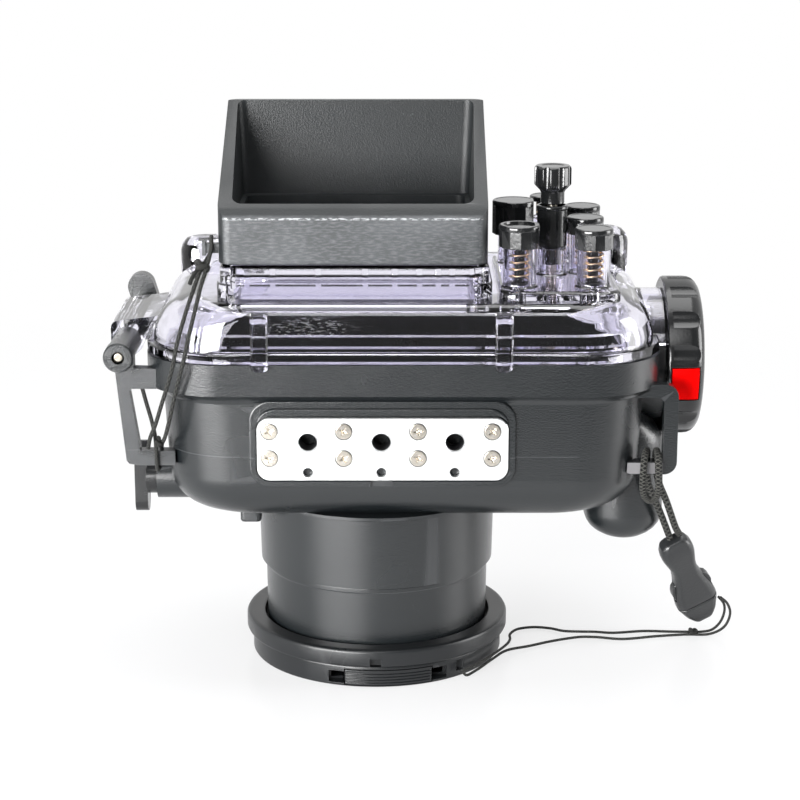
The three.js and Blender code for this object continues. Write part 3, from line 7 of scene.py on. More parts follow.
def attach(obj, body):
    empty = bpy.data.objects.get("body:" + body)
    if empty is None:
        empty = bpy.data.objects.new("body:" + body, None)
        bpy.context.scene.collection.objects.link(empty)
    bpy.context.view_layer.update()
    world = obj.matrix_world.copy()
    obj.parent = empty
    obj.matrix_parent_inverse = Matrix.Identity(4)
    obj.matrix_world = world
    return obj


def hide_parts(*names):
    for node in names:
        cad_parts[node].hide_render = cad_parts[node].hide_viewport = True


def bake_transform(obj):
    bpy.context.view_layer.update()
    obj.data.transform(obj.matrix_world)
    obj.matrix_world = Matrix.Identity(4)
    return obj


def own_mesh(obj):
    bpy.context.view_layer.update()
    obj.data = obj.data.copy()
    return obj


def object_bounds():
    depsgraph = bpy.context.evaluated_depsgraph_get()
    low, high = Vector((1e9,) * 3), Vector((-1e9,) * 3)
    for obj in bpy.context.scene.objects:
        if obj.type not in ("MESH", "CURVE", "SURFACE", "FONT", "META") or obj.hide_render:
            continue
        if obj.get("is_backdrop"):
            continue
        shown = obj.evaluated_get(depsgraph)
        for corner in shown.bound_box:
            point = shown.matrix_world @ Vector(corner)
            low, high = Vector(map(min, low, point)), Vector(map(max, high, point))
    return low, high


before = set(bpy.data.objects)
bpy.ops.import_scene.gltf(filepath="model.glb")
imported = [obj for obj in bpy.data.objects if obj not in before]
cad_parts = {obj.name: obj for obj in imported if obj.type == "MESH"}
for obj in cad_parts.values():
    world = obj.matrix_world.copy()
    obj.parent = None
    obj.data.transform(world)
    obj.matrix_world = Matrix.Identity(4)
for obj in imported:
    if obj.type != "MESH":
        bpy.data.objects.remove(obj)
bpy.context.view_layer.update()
mm = 0.001


# Camera
# The housing stands on its port cap and is seen from a little above its tripod side, about
# 65 cm away, through a medium telephoto lens.
bpy.ops.object.camera_add(location=(0.00699, -0.62930, 0.23853), rotation=(math.radians(75.5), 0, 0))
camera = bpy.context.object
camera.name = "photo_camera"
camera.data.lens = 99.18
camera.data.sensor_width = 36
bpy.context.scene.camera = camera


# Front shell
# The black bowl that the camera lies in, injection moulded in glass-filled polycarbonate: a flat rim
# over a cove, round corners, the port's collar, the grip bulge, and the bosses of the controls.
def one_selected(form):
    bpy.ops.object.select_all(action='DESELECT')
    form.select_set(True)
    bpy.context.view_layer.objects.active = form


def into_editing(form):
    one_selected(form)
    bpy.ops.object.mode_set(mode='EDIT')


def out_of_editing():
    bpy.ops.object.mode_set(mode='OBJECT')


def drawn_up(height):
    bpy.ops.mesh.extrude_region_move(TRANSFORM_OT_translate={"value": (0, 0, height * mm)})


def faces_outward():
    """Turns every face of the edited form outward and ends the editing."""
    bpy.ops.mesh.select_all(action='SELECT')
    bpy.ops.mesh.normals_make_consistent(inside=False)
    out_of_editing()


def modified(form, kind, **settings):
    """Adds a modifier with its settings and applies it."""
    change = form.modifiers.new(kind.lower(), kind)
    for name, value in settings.items():
        setattr(change, name, value)
    one_selected(form)
    bpy.ops.object.modifier_apply(modifier=change.name)


def settle(form, matrix=None):
    """Moves a form by a matrix if one is given, and puts its place and turn into its mesh."""
    if matrix is not None:
        form.matrix_world = matrix @ form.matrix_world
    one_selected(form)
    bpy.ops.object.transform_apply(location=True, rotation=True, scale=True)
    return form


def moved(form, x, y, z):
    return settle(form, Matrix.Translation((x * mm, y * mm, z * mm)))


def laid_along_x(form, axis=None):
    """Lays an upright form along x, with its own x to y and y to z, and moves it to its axis."""
    settle(form, Matrix(((0, 0, 1, 0), (1, 0, 0, 0), (0, 1, 0, 0), (0, 0, 0, 1))))
    return moved(form, *axis) if axis else form


def laid_along_y(form, axis=None):
    """Lays an upright form along y, its top towards the viewer, and moves it to its axis."""
    settle(form, Matrix.Rotation(math.pi / 2, 4, 'X'))
    return moved(form, *axis) if axis else form


def on_circle(radius, turn, x=0, y=0):
    return x + radius * math.cos(turn), y + radius * math.sin(turn)


def moulded_block(left, right, near, far, corner, rows, steps=9):
    """A round-cornered outline carried through rows of level and draw from left, right, near, far."""
    bpy.ops.object.select_all(action='DESELECT')
    middle = ((left + right) / 2 * mm, (near + far) / 2 * mm, rows[0][0] * mm)
    bpy.ops.mesh.primitive_plane_add(size=1, location=middle)
    block = bpy.context.object
    block.scale = ((right - left) * mm, (far - near) * mm, 1)
    settle(block)
    into_editing(block)
    bpy.ops.mesh.select_all(action='SELECT')
    if corner:
        bpy.ops.mesh.bevel(offset=corner * mm, segments=steps, affect='VERTICES')
    level, held = rows[0][0], [left, right, near, far]
    for i, (height, *draw) in enumerate(rows):
        if i:
            drawn_up(height - level)
        draw = draw or [0]
        draw = draw * 4 if len(draw) == 1 else draw
        new = [left + draw[0], right - draw[1], near + draw[2], far - draw[3]]
        centre = ((held[0] + held[1]) / 2 * mm, (held[2] + held[3]) / 2 * mm, height * mm)
        wide = (new[1] - new[0]) / (held[1] - held[0])
        deep = (new[3] - new[2]) / (held[3] - held[2])
        bpy.ops.transform.resize(value=(wide, deep, 1), center_override=centre)
        shift = ((new[0] + new[1]) / 2 * mm - centre[0], (new[2] + new[3]) / 2 * mm - centre[1], 0)
        bpy.ops.transform.translate(value=shift)
        level, held = height, new
    out_of_editing()
    return block


def filleted(low, fillet, top, steps=7):
    """Rows of a block whose lower edge is rounded."""
    rows = []
    for step in range(steps + 1):
        angle = math.pi / 2 * step / steps
        rows.append((low + fillet * (1 - math.cos(angle)), fillet * (1 - math.sin(angle))))
    return rows + [(top, 0)]


def turned(rows, steps=72, ring=False):
    """A lathe form from rows of radius and level; a ring's rows end where they began."""
    bpy.ops.object.select_all(action='DESELECT')
    bpy.ops.mesh.primitive_circle_add(vertices=steps, radius=rows[0][0] * mm,
                                      fill_type='NOTHING' if ring else 'NGON')
    form = bpy.context.object
    moved(form, 0, 0, rows[0][1])
    into_editing(form)
    bpy.ops.mesh.select_all(action='SELECT')
    for (radius, level), (new_radius, new_level) in zip(rows, rows[1:]):
        drawn_up(new_level - level)
        grown = new_radius / radius
        bpy.ops.transform.resize(value=(grown, grown, 1), center_override=(0, 0, new_level * mm))
    bpy.ops.mesh.select_all(action='SELECT')
    if ring:
        bpy.ops.mesh.remove_doubles(threshold=0.00001)
    faces_outward()
    return form


def rod(radius, low, high, steps=36):
    return turned([(radius, low), (radius, high)], steps)


def bar(x0, x1, y0, y1, z0, z1):
    """A square-edged cutter or block, to be cut, joined or bevelled."""
    return moulded_block(x0, x1, y0, y1, 0, [(z0,), (z1,)])


def outline_block(points, low, high):
    """A flat outline extruded upward: a circle's corners are set to the points, then it is extruded."""
    bpy.ops.object.select_all(action='DESELECT')
    bpy.ops.mesh.primitive_circle_add(vertices=len(points), radius=mm, fill_type='NGON')
    form = bpy.context.object
    turn = sum(a[0] * b[1] - b[0] * a[1] for a, b in zip(points, points[1:] + points[:1]))
    for vertex, (a, b) in zip(form.data.vertices, points if turn > 0 else points[::-1]):
        vertex.co = (a * mm, b * mm, low * mm)
    into_editing(form)
    bpy.ops.mesh.select_all(action='SELECT')
    drawn_up(high - low)
    faces_outward()
    return form


def worked(form, tool, operation='DIFFERENCE'):
    """Cuts a tool from a form, joins it or keeps what they share, and clears the tool away."""
    modified(form, 'BOOLEAN', operation=operation, object=tool, solver='EXACT')
    bpy.data.objects.remove(tool)
    return form


def joined(form, *tools):
    for tool in tools:
        worked(form, tool, 'UNION')
    return form


def cut(form, *tools):
    for tool in tools:
        worked(form, tool)
    return form


def edges_eased(form, width, angle=32, segments=2):
    """Breaks the sharp edges and smooths the shading between them."""
    same_point, same_plane = 0.000004, math.radians(0.4)
    into_editing(form)
    bpy.ops.mesh.select_all(action='SELECT')
    bpy.ops.mesh.remove_doubles(threshold=same_point)
    bpy.ops.mesh.dissolve_limited(angle_limit=same_plane)
    out_of_editing()
    modified(form, 'BEVEL', width=width * mm, segments=segments, angle_limit=math.radians(angle),
             use_clamp_overlap=True)
    bpy.ops.object.shade_smooth_by_angle(angle=math.radians(angle))
    modified(form, 'WEIGHTED_NORMAL', keep_sharp=True)


def seated(form, name, body, slot, material, *nodes):
    """Names a finished piece, gives it its material and puts it on its body."""
    form.name = name
    form.data.name = name
    form.data.materials.clear()
    form.data.materials.append(material)
    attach(form, body)
    if nodes:
        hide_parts(*nodes)


def redressed(material, *names):
    """Gives CAD nodes whose shape is right the finish of the real piece."""
    for name in names:
        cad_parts[name].data.materials.clear()
        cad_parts[name].data.materials.append(material)


def fill(tree, socket, value):
    """Links a socket to the socket given, or sets its value."""
    if isinstance(value, bpy.types.NodeSocket):
        tree.links.new(value, socket)
    else:
        socket.default_value = value


def node(tree, kind, inputs=None, **settings):
    """A new shader node with its settings made and its inputs filled."""
    made = tree.nodes.new("ShaderNode" + kind)
    for name, value in settings.items():
        setattr(made, name, value)
    for name, value in (inputs or {}).items():
        fill(tree, made.inputs[name], value)
    return made


def reckoned(tree, operation, *values):
    return node(tree, "Math", dict(enumerate(values)), operation=operation).outputs["Value"]


def ranged(tree, value, low, high, to_low=0, to_high=1):
    """A value of low to high spread over to_low to to_high, and held there."""
    return node(tree, "MapRange", {"Value": value, "From Min": low, "From Max": high,
                                   "To Min": to_low, "To Max": to_high}).outputs["Result"]


def mixed(tree, share, first, second):
    return node(tree, "Mix", {"Factor": share, 6: first, 7: second}, data_type='RGBA').outputs[2]


def noise(tree, vector, scale, detail=2, distortion=0):
    return node(tree, "TexNoise", {"Vector": vector, "Scale": scale, "Detail": detail,
                                   "Distortion": distortion}).outputs["Fac"]


def bumped(tree, height, strength, distance):
    return node(tree, "Bump", {"Height": height, "Strength": strength, "Distance": distance}).outputs["Normal"]


def surface_place(tree, kind="Object"):
    return node(tree, "TexCoord").outputs[kind]


def along(tree, vector, axis):
    return node(tree, "SeparateXYZ", {"Vector": vector}).outputs[axis]


def new_material(name):
    material = bpy.data.materials.new(name)
    material.use_nodes = True
    return material, material.node_tree


def shade(tree, inputs):
    """Fills inputs of the material's own surface shader."""
    for name, value in inputs.items():
        fill(tree, tree.nodes["Principled BSDF"].inputs[name], value)


def moulded_surface():
    """Group: mould grain, faint flow marks and uneven gloss of an injection moulded surface."""
    group = bpy.data.node_groups.new("moulded_surface", 'ShaderNodeTree')
    for name, value in (("Colour", (0.02, 0.02, 0.02, 1)), ("Worn colour", (0.05, 0.05, 0.05, 1)),
                        ("Roughness", 0.4), ("Unevenness", 0.1), ("Grain scale", 2500.0), ("Wear", 0.3)):
        kind = 'NodeSocketFloat' if isinstance(value, float) else 'NodeSocketColor'
        group.interface.new_socket(name=name, in_out='INPUT', socket_type=kind).default_value = value
    for name, kind in (("Colour", 'Color'), ("Roughness", 'Float'), ("Height", 'Float')):
        group.interface.new_socket(name=name, in_out='OUTPUT', socket_type='NodeSocket' + kind)
    given = group.nodes.new('NodeGroupInput').outputs
    place = surface_place(group)
    spots = node(group, "TexVoronoi", {"Vector": place, "Scale": 520}).outputs["Distance"]
    speck = ranged(group, spots, 0.05, 0.12, 1, 0)
    dust = reckoned(group, 'MULTIPLY', speck, ranged(group, noise(group, place, 160), 0.58, 0.66))
    raised = ranged(group, node(group, "NewGeometry").outputs["Pointiness"], 0.53, 0.62)
    wear = reckoned(group, 'MULTIPLY', reckoned(group, 'MAXIMUM', raised, dust), given["Wear"])
    flow = reckoned(group, 'SUBTRACT', noise(group, place, 48, 4, 0.2), 0.5)
    result = group.nodes.new('NodeGroupOutput').inputs
    fill(group, result["Colour"], mixed(group, wear, given["Colour"], given["Worn colour"]))
    gloss = reckoned(group, 'MULTIPLY_ADD', flow, given["Unevenness"], given["Roughness"])
    fill(group, result["Roughness"], gloss)
    fill(group, result["Height"], noise(group, place, given["Grain scale"], 3))
    return group


moulded_group = moulded_surface()


def moulded_look(tree, inputs):
    """The group placed in a material with that material's values."""
    return node(tree, "Group", inputs, node_tree=moulded_group).outputs


def moulded(name, colour, worn, roughness, uneven, grain, depth, wear=0.3, gloss=0.5):
    """A moulded plastic or rubber: the group's colour, gloss and grain on a plain surface shader."""
    material, tree = new_material(name)
    surface = moulded_look(tree, {
        "Colour": (*colour, 1), "Worn colour": (*worn, 1), "Roughness": roughness, "Unevenness": uneven,
        "Grain scale": grain, "Wear": wear})
    shade(tree, {"Specular IOR Level": gloss, "Base Color": surface["Colour"], "Roughness": surface["Roughness"],
                 "Normal": bumped(tree, surface["Height"], depth, 0.00025)})
    return material


def marked(material, share, tone):
    """Lays a tone over a finished material's colour, by a share that changes over the surface."""
    tree = material.node_tree
    plain = tree.nodes["Principled BSDF"].inputs["Base Color"].links[0].from_socket
    shade(tree, {"Base Color": mixed(tree, share, plain, tone)})


def shell_plastic(name):
    return moulded(
        name, (0.008, 0.0098, 0.0108), (0.06, 0.062, 0.065),
        roughness=0.25, uneven=0.15, grain=2300, depth=0.3, wear=0.4, gloss=0.66)


shell_black = shell_plastic("shell_black")


def with_parting_line_glint(material, level, half):
    """The faint raised line where the two halves of the mould met, drawn as a painted highlight: a lighter line,
    broken in places, in place of the light the ridge catches.
    """
    tree = material.node_tree
    place = surface_place(tree)
    line = reckoned(tree, 'COMPARE', along(tree, place, "Z"), level * mm, half * mm)
    broken = ranged(tree, noise(tree, place, 70), 0.4, 0.6)
    # Painted highlight: the broken light line at the mould's parting level.
    marked(material, reckoned(tree, 'MULTIPLY', line, broken), (0.07, 0.073, 0.076, 1))


with_parting_line_glint(shell_black, level=69.7, half=0.06)

lock_axis, zoom_axis, hinge_axis = (0, 0, 89.7), (0, -12, 56.3), (-71.4, 0, 96.5)
shutter_axis, mode_axis = (66, 0, 60), (38, 0, 76)
socket_columns, socket_level, pin_level = [1.8 + 20.4 * side for side in (-1, 0, 1)], 74.2, 65.6
screw_columns, screw_levels = (-29.2, -8.6, 12, 32.6), (77.4, 69.7)
shell = moulded_block(-60.2, 76.2, -40, 43, 20, [
    *[(level, draw + 1.2, draw + 1.2, draw, draw) for level, draw in filleted(50, 13, 84, 9)[:-1]],
    (84.6, 0), (85.3, -0.35, -0.35, -0.15, -0.15), (86.2, -1.4, -1.4, -0.6, -0.6),
    (86.9, -3, -3, -1.4, -1.4), (87.5, -4.3, -4.3, -2, -2), (96.3, -4.3, -4.3, -2, -2)], steps=12)
grip = moulded_block(61, 84, -20, 38, 11, [
    *filleted(37.5, 8, 66)[:-1], (66, 0), (69, 0, 0.8, 0, 0), (72, 0, 2.6, 0, 0), (76, 0, 7, 0, 0)])
collar = turned([(34.4, 28.9), (34.9, 51)], 96)
collar_root = turned([(35.6, 49.4), (37.4, 50.1), (37.4, 51)], 96)
foot = moulded_block(-39, -33, -23, -17, 1.2, [(45.4, 0.3), (45.9, 0), (51, 0)], steps=4)
zoom_boss = laid_along_x(turned([(6.5, -63.4), (6.5, -53)], 48), zoom_axis)
lock_collar = laid_along_x(rod(19.6, 72.3, 82.6, 96), lock_axis)
worked(lock_collar, bar(71, 84, -21, 21, 69, 96.3), 'INTERSECT')
shutter_boss = laid_along_y(rod(8.4, -47.2, -40, 48), shutter_axis)
mode_boss = laid_along_y(rod(9, -47.2, -40, 48), mode_axis)
plate_frame = laid_along_y(moulded_block(-34.8, 39.1, 61.2, 85.9, 5.7, [
    (39, 0), (40.7, 0), (40.95, 0.12), (41.05, 0.45), (41.05, 1.9), (41.75, 2.1), (41.9, 2.35)]))
joined(shell, grip, collar, collar_root, foot, zoom_boss, lock_collar, shutter_boss, mode_boss, plate_frame)

ear_radius = 4.05
far_ear = laid_along_y(outline_block([
    on_circle(ear_radius, math.radians(start + 180 * i / 14), x, z)
    for start, x, z in ((197, hinge_axis[0], hinge_axis[2]), (17, -73, 102)) for i in range(15)], -43.5, -38.5))
far_arm = bar(-71.4, -56.3, 38.5, 43.5, 87.4, 93)
far_barrel = laid_along_y(rod(3.9, -40, -23.6, 40), hinge_axis)
joined(shell, far_arm, far_barrel, far_ear)

hollow = moulded_block(-56.3, 72.3, -37, 40, 17, filleted(53.6, 9, 97.3))
grip_hollow = moulded_block(64, 81, -17, 35, 8, [*filleted(40.5, 5, 63), (73, 0, 7, 0, 0)])
boss_bar = laid_along_y(moulded_block(-32.7, 37, 67.3, 81.1, 3.6, [(30.5, 0), (38, 0)]))
cut(shell, hollow, grip_hollow, rod(31.4, 27.9, 54.6, 96),
    laid_along_x(rod(4.3, -50.9, -45.9), zoom_axis))
joined(shell, boss_bar)
lock_recess = laid_along_x(rod(17.8, 77.2, 83.6, 96), lock_axis)
cut(shell, lock_recess,
    laid_along_x(rod(2.7, 71.3, 78.2), lock_axis),
    laid_along_x(rod(2.2, -64.4, -49.6), zoom_axis),
    laid_along_y(rod(1.8, -42.7, -23.3), hinge_axis),
    laid_along_y(rod(1.9, -48.2, -33), shutter_axis),
    laid_along_y(rod(2.3, -48.2, -39), mode_axis),
    laid_along_y(moulded_block(-33.1, 37.4, 62.9, 82, 3.9, [(39.6, 0), (43, 0)])),
    bar(-1.2, 4.8, -43, -40, 60, 63.3))
for x in socket_columns:
    cut(shell, laid_along_y(rod(2.9, 33.5, 43), (x, 0, socket_level)),
        laid_along_y(rod(1.4, 39.3, 43), (x, 0, pin_level)))
for x in screw_columns:
    for z in screw_levels:
        cut(shell, laid_along_y(rod(1.4, 34.4, 43, 16), (x, 0, z)))
groove = moulded_block(-60.6, 76.6, -40.3, 43.3, 18.1, [(94.3, 0), (97.3, 0)])
cut(groove, moulded_block(-58.4, 74.4, -38.1, 41.1, 15.9, [(93.3, 0), (98.3, 0)]))
cut(shell, groove)
edges_eased(shell, 0.35)
seated(shell, "front_shell_moulding", "shell", "black_plastic", shell_black, "front_shell")
seal_rubber = moulded(
    "seal_rubber", (0.008, 0.008, 0.009), (0.03, 0.03, 0.03),
    roughness=0.5, uneven=0.2, grain=1800, depth=0.2, wear=0.2)
redressed(seal_rubber, "main_seal")


# Port
# A turned barrel screwed into the shell's collar, a wide front ring that the cap clips on, and a
# flat optical window seated on a rubber seal. Same black plastic; the ring's grain is finer.
ring_black = moulded(
    "ring_black", (0.0095, 0.0105, 0.0115), (0.05, 0.05, 0.052),
    roughness=0.3, uneven=0.14, grain=3000, depth=0.12, wear=0.45, gloss=0.38)
barrel = turned([
    (30.7, 8), (32.6, 8), (32.75, 13), (32.95, 27), (33.1, 27.2), (33.1, 28.4), (32.8, 28.6), (31.1, 28.6),
    (31.1, 40.9), (27.9, 40.9), (27.9, 31), (27.6, 27), (27.6, 13.5), (30.7, 13.5), (30.7, 8)], 128, ring=True)
edges_eased(barrel, 0.15)
seated(barrel, "port_barrel_turned", "shell", "black_plastic", shell_black, "port_barrel")

port_ring = turned([
    (28.4, 6.65), (37.9, 6.65), (38.7, 6.95), (39, 7.6), (39, 10.9), (38.6, 11.6), (37.6, 12), (34.2, 12),
    (33.6, 11.7), (33.4, 11.1), (33.4, 7.85), (28.4, 7.85), (28.4, 6.65)], 160, ring=True)
cut(port_ring, bar(-1.6, 1.6, -41, -36.4, 5, 9.3))
edges_eased(port_ring, 0.12)
seated(port_ring, "port_front_ring", "shell", "satin_plastic", ring_black, "port_ring")


def window_glass():
    """Optical glass: clear, with the faintest green and a few wiped smears in its gloss."""
    material, tree = new_material("window_glass")
    surface = moulded_look(tree, {"Roughness": 0.03, "Unevenness": 0.05})
    shade(tree, {"Transmission Weight": 1, "IOR": 1.5, "Base Color": (0.94, 0.98, 0.96, 1),
                 "Roughness": surface["Roughness"]})
    return material


redressed(window_glass(), "port_glass")
redressed(seal_rubber, "port_seal")


# Port cap
# A push-on cap that keeps the window from scratches, moulded in black plastic. A sprung tab with
# grip ribs fills a gap in the near side of its skirt, with a small window at either end of it.
cap_turn = Matrix.Rotation(math.radians(6), 4, 'Z')
cap = turned([
    (0.4, 0.15), (8, 0.15), (20, 0), (36.3, 0), (36.9, 0.2), (37.2, 0.7), (37.2, 5.8), (37.05, 6.2),
    (36.6, 6.35), (34.8, 6.35), (34.8, 1.7), (0.4, 1.7)], 160)
spigot = turned([(25.4, 1.2), (27.8, 1.2), (27.8, 7.1), (27.4, 7.5), (25.8, 7.5), (25.4, 7.1), (25.4, 1.2)], 128,
                ring=True)
joined(cap, spigot)
cut(cap, bar(-12.8, 12.8, -38.2, -23.3, 0.4, 5.4))
for low, high in ((-17.1, -12.3), (12.3, 17.1)):
    cut(cap, bar(low, high, -38.2, -30.8, 1, 4.6))
hole_x, hole_y = on_circle(37.2, math.radians(-55))
hole_half = 1.1
cut(cap, moulded_block(hole_x - hole_half, hole_x + hole_half, hole_y - hole_half, hole_y + hole_half, 0.4,
                       [(2, 0), (5.25, 0)], steps=3))
edges_eased(cap, 0.14)
settle(cap, cap_turn)
seated(cap, "port_cap_moulding", "port_cap", "satin_plastic", ring_black, "port_cap")

tab = turned([(33.3, 0.7), (37.2, 0.7), (37.2, 5.1), (33.3, 5.1), (33.3, 0.7)], 160, ring=True)
for rib in range(4):
    level = 0.7 + 0.88 * rib + 0.44
    cut(tab, turned([(36.8, level + 0.2), (37.6, level + 0.12), (37.6, level + 0.56), (36.8, level + 0.48),
                     (36.8, level + 0.2)], 160, ring=True))
worked(tab, bar(-12.5, 12.5, -38.2, -24, 0.6, 5.2), 'INTERSECT')
edges_eased(tab, 0.09)
settle(tab, cap_turn)
seated(tab, "port_cap_pinch_tab", "port_cap_tab", "satin_plastic", ring_black, "port_cap_tab")


# Tripod plate
# A milled and blasted aluminium plate let into the shell's frame, held by eight countersunk
# cross-head screws, with three quarter-inch sockets and a pin hole below each.
def blasted_metal(name, colour, roughness, streak):
    """Bare metal: a fine blasted tooth, brushed streaks and a few rubbed places."""
    material, tree = new_material(name)
    surface = moulded_look(tree, {
        "Colour": (*colour, 1), "Worn colour": (0.9, 0.9, 0.9, 1), "Roughness": roughness, "Unevenness": 0.25,
        "Grain scale": 4200})
    stretch = node(tree, "Mapping", {"Vector": surface_place(tree), "Scale": (streak, 1, 1)}).outputs["Vector"]
    shade(tree, {"Metallic": 1, "Base Color": surface["Colour"], "Roughness": surface["Roughness"],
                 "Normal": bumped(tree, noise(tree, stretch, 1500, 4), 0.25, 0.00006)})
    return material


plate_metal = blasted_metal("plate_aluminium", (0.84, 0.85, 0.855), roughness=0.42, streak=0.06)
screw_steel = blasted_metal("screw_steel", (0.66, 0.61, 0.53), roughness=0.24, streak=1)
plate = laid_along_y(moulded_block(-32.7, 37, 63.3, 81.3, 3.6, [(39.9, 0), (41.3, 0), (41.5, 0.2)]))
crest, root, pitch = 2.6, 2.875, 0.6
for x in socket_columns:
    threads = [(root, 38)]
    for turn in range(6):
        threads += [(crest, 38.3 + pitch * turn), (root, 38.6 + pitch * turn)]
    bore = turned([*threads, (root, 41.2), (3.25, 41.6), (3.25, 42.4)], 48)
    cut(plate, laid_along_y(bore, (x, 0, socket_level)))
    pin_hole = turned([(1.35, 38), (1.35, 41.3), (1.6, 41.6), (1.6, 42)], 32)
    cut(plate, laid_along_y(pin_hole, (x, 0, pin_level)))
screw_places = [(x, z) for z in screw_levels for x in screw_columns]
for x, z in screw_places:
    sink = turned([(1.4, 39), (1.4, 39.9), (2.5, 41.5), (2.5, 42.4)], 32)
    cut(plate, laid_along_y(sink, (x, 0, z)))
edges_eased(plate, 0.09)
seated(plate, "tripod_plate_milled", "shell", "aluminium", plate_metal, "tripod_plate")

socket_sleeves = []
for x in socket_columns:
    sleeve = turned([(2.86, 33.6), (2.86, 39.8), (2.7, 39.8)] +
                    [(radius, 39.8 - 0.31 * i) for i, radius in enumerate([2.7, 2.45] * 10)][1:] +
                    [(2.6, 33.6), (2.86, 33.6)], 40, ring=True)
    socket_sleeves.append(laid_along_y(sleeve, (x, 0, socket_level)))
one_selected(socket_sleeves[0])
for sleeve in socket_sleeves:
    sleeve.select_set(True)
bpy.ops.object.join()
socket_shadow = moulded(
    "socket_shadow", (0.012, 0.012, 0.013), (0.1, 0.1, 0.1),
    roughness=0.3, uneven=0.2, grain=3000, depth=0.1)
seated(socket_sleeves[0], "tripod_socket_threads", "shell", "steel", socket_shadow)

for i, (x, z) in enumerate(screw_places):
    screw = turned([(1.1, 35.6), (1.1, 39.9), (2.15, 41.3), (2.2, 41.42), (2.0, 41.5)], 32)
    arms = bar(-1.25, 1.25, -0.24, 0.24, 40.7, 42)
    joined(arms, bar(-0.24, 0.24, -1.25, 1.25, 40.7, 42))
    joined(arms, turned([(0.25, 40.2), (0.62, 40.9), (0.75, 42)], 16))
    cut(screw, arms)
    settle(screw, Matrix.Rotation(math.radians(23 + 37 * i), 4, 'Z'))
    edges_eased(screw, 0.06, segments=1)
    laid_along_y(screw, (x, 0, z))
    seated(screw, f"plate_screw_{i + 1}_cross_head", "shell", "steel", screw_steel, f"plate_screw_{i + 1}")


# Hinge bracket, hinge pin and strap loops
# The near hinge ear and the left strap loop are one black moulding screwed to the rim; the right
# loop is a plain bar moulded into the shell's corner. The pin is a drawn steel wire.
bracket_outline = [
    (-73.5, 96.5), (-67.2, 96.5), (-67.2, 93.3), (-56.3, 93), (-56.3, 87.4), (-68.0, 87.4), (-68.6, 86.6),
    (-66, 69.4), (-56.3, 69.4), (-56.3, 65.2), (-66.2, 65.2), (-69.2, 65.6), (-70, 66.6), (-72.45, 92.3)]
bracket = laid_along_y(outline_block(bracket_outline, 28.6, 32.6))
near_ear = turned([(3.9, 28.6), (4.2, 28.9), (4.2, 33.6), (3.8, 34)], 56)
joined(bracket, laid_along_y(near_ear, hinge_axis), laid_along_y(rod(3.9, 10.8, 29, 48), hinge_axis))


def shell_outside():
    """The shell's outer form, a hair larger: it trims what is fixed to the shell."""
    return moulded_block(-60.5, 76.5, -40.3, 43.3, 20.3, [
        *[(level, draw + 1.2, draw + 1.2, draw, draw) for level, draw in filleted(49.7, 13, 84, 6)[:-1]],
        (84.6, 0), (86.9, -4, -4, -2, -2), (97.5, -4, -4, -2, -2)], steps=8)


cut(bracket, shell_outside())
cut(bracket, laid_along_y(rod(1.8, 9, 35), hinge_axis))
edges_eased(bracket, 0.45, segments=3)
seated(bracket, "left_bracket_moulding", "shell", "black_plastic", shell_black, "left_strap_bracket")

loop = laid_along_y(moulded_block(69.3, 85, 62.5, 88.5, 3.6, [(28.6, 0), (32.6, 0)]))
cut(loop, laid_along_y(moulded_block(64, 81, 66.2, 84.8, 1.8, [(27, 0), (34, 0)])))
cut(loop, shell_outside())
edges_eased(loop, 0.55, segments=3)


def with_paler_bar(material, middle, half):
    """The level bar of a strap loop, painted a paler tone over its inner span."""
    tree = material.node_tree
    place = surface_place(tree)
    span = reckoned(tree, 'COMPARE', along(tree, place, "Z"), middle * mm, half * mm)
    inward = ranged(tree, along(tree, place, "X"), 81.5 * mm, 80 * mm)
    # A paler tone over the lower bar between the loop's sides.
    marked(material, reckoned(tree, 'MULTIPLY', span, inward), (0.17, 0.167, 0.172, 1))


loop_black = shell_plastic("loop_black")
with_paler_bar(loop_black, middle=64.3, half=1.6)
seated(loop, "right_strap_bar", "shell", "black_plastic", loop_black, "right_strap_loop")

pin = laid_along_y(turned([(1.1, -41.9), (1.5, -41.5), (1.5, 32.8), (1.1, 33.2)], 32), hinge_axis)
edges_eased(pin, 0.1)
seated(pin, "hinge_pin_drawn", "shell", "steel", screw_steel, "hinge_pin")


# Lock
# A black knob on the right side turns a cam whose spiral rim pulls the cover's hook down onto the
# seal. The red block in the knob's rim has to be pressed before the knob turns.
lock_black = moulded(
    "lock_black", (0.009, 0.0095, 0.01), (0.05, 0.05, 0.05),
    roughness=0.2, uneven=0.16, grain=1500, depth=0.1, wear=0.3)
lock_red = moulded(
    "lock_red", (0.72, 0.0008, 0.0006), (0.8, 0.03, 0.03),
    roughness=0.42, uneven=0.15, grain=1900, depth=0.15, wear=0.1, gloss=0.02)


def knob_form():
    """The knob's round form, before its flutes; the red button is a piece of the same round."""
    return turned([(22.2, 83), (22.75, 83.25), (23, 83.8), (23, 89.4), (22.85, 90.7), (22.4, 91.8), (21.6, 92.7),
                   (20.5, 93.4), (19.2, 93.75), (17, 93.8), (16.3, 93.6), (15.6, 93), (15.1, 92.8), (6, 92.8)], 168)


knob = knob_form()
knob_flutes = 14
for i in range(knob_flutes):
    turn = 2 * math.pi * (i + 0.5) / knob_flutes
    flute = turned([(5, 84.6), (5, 91), (5.6, 95)], 40)
    cut(knob, moved(flute, *on_circle(27.1, turn), 0))
cut(knob, rod(2.7, 82, 91.3))
laid_along_x(knob, lock_axis)
cut(knob, bar(83.9, 92.3, -24, -16.8, 81.1, 91.1))
edges_eased(knob, 0.28, angle=28)
seated(knob, "lock_knob_moulding", "lock", "satin_plastic", lock_black, "lock_knob")

release = laid_along_x(knob_form(), lock_axis)
worked(release, bar(84.2, 92, -24, -18.6, 81.4, 90.8), 'INTERSECT')
edges_eased(release, 0.3, segments=3)
seated(release, "lock_release_button", "lock_release", "red_plastic", lock_red, "lock_release")

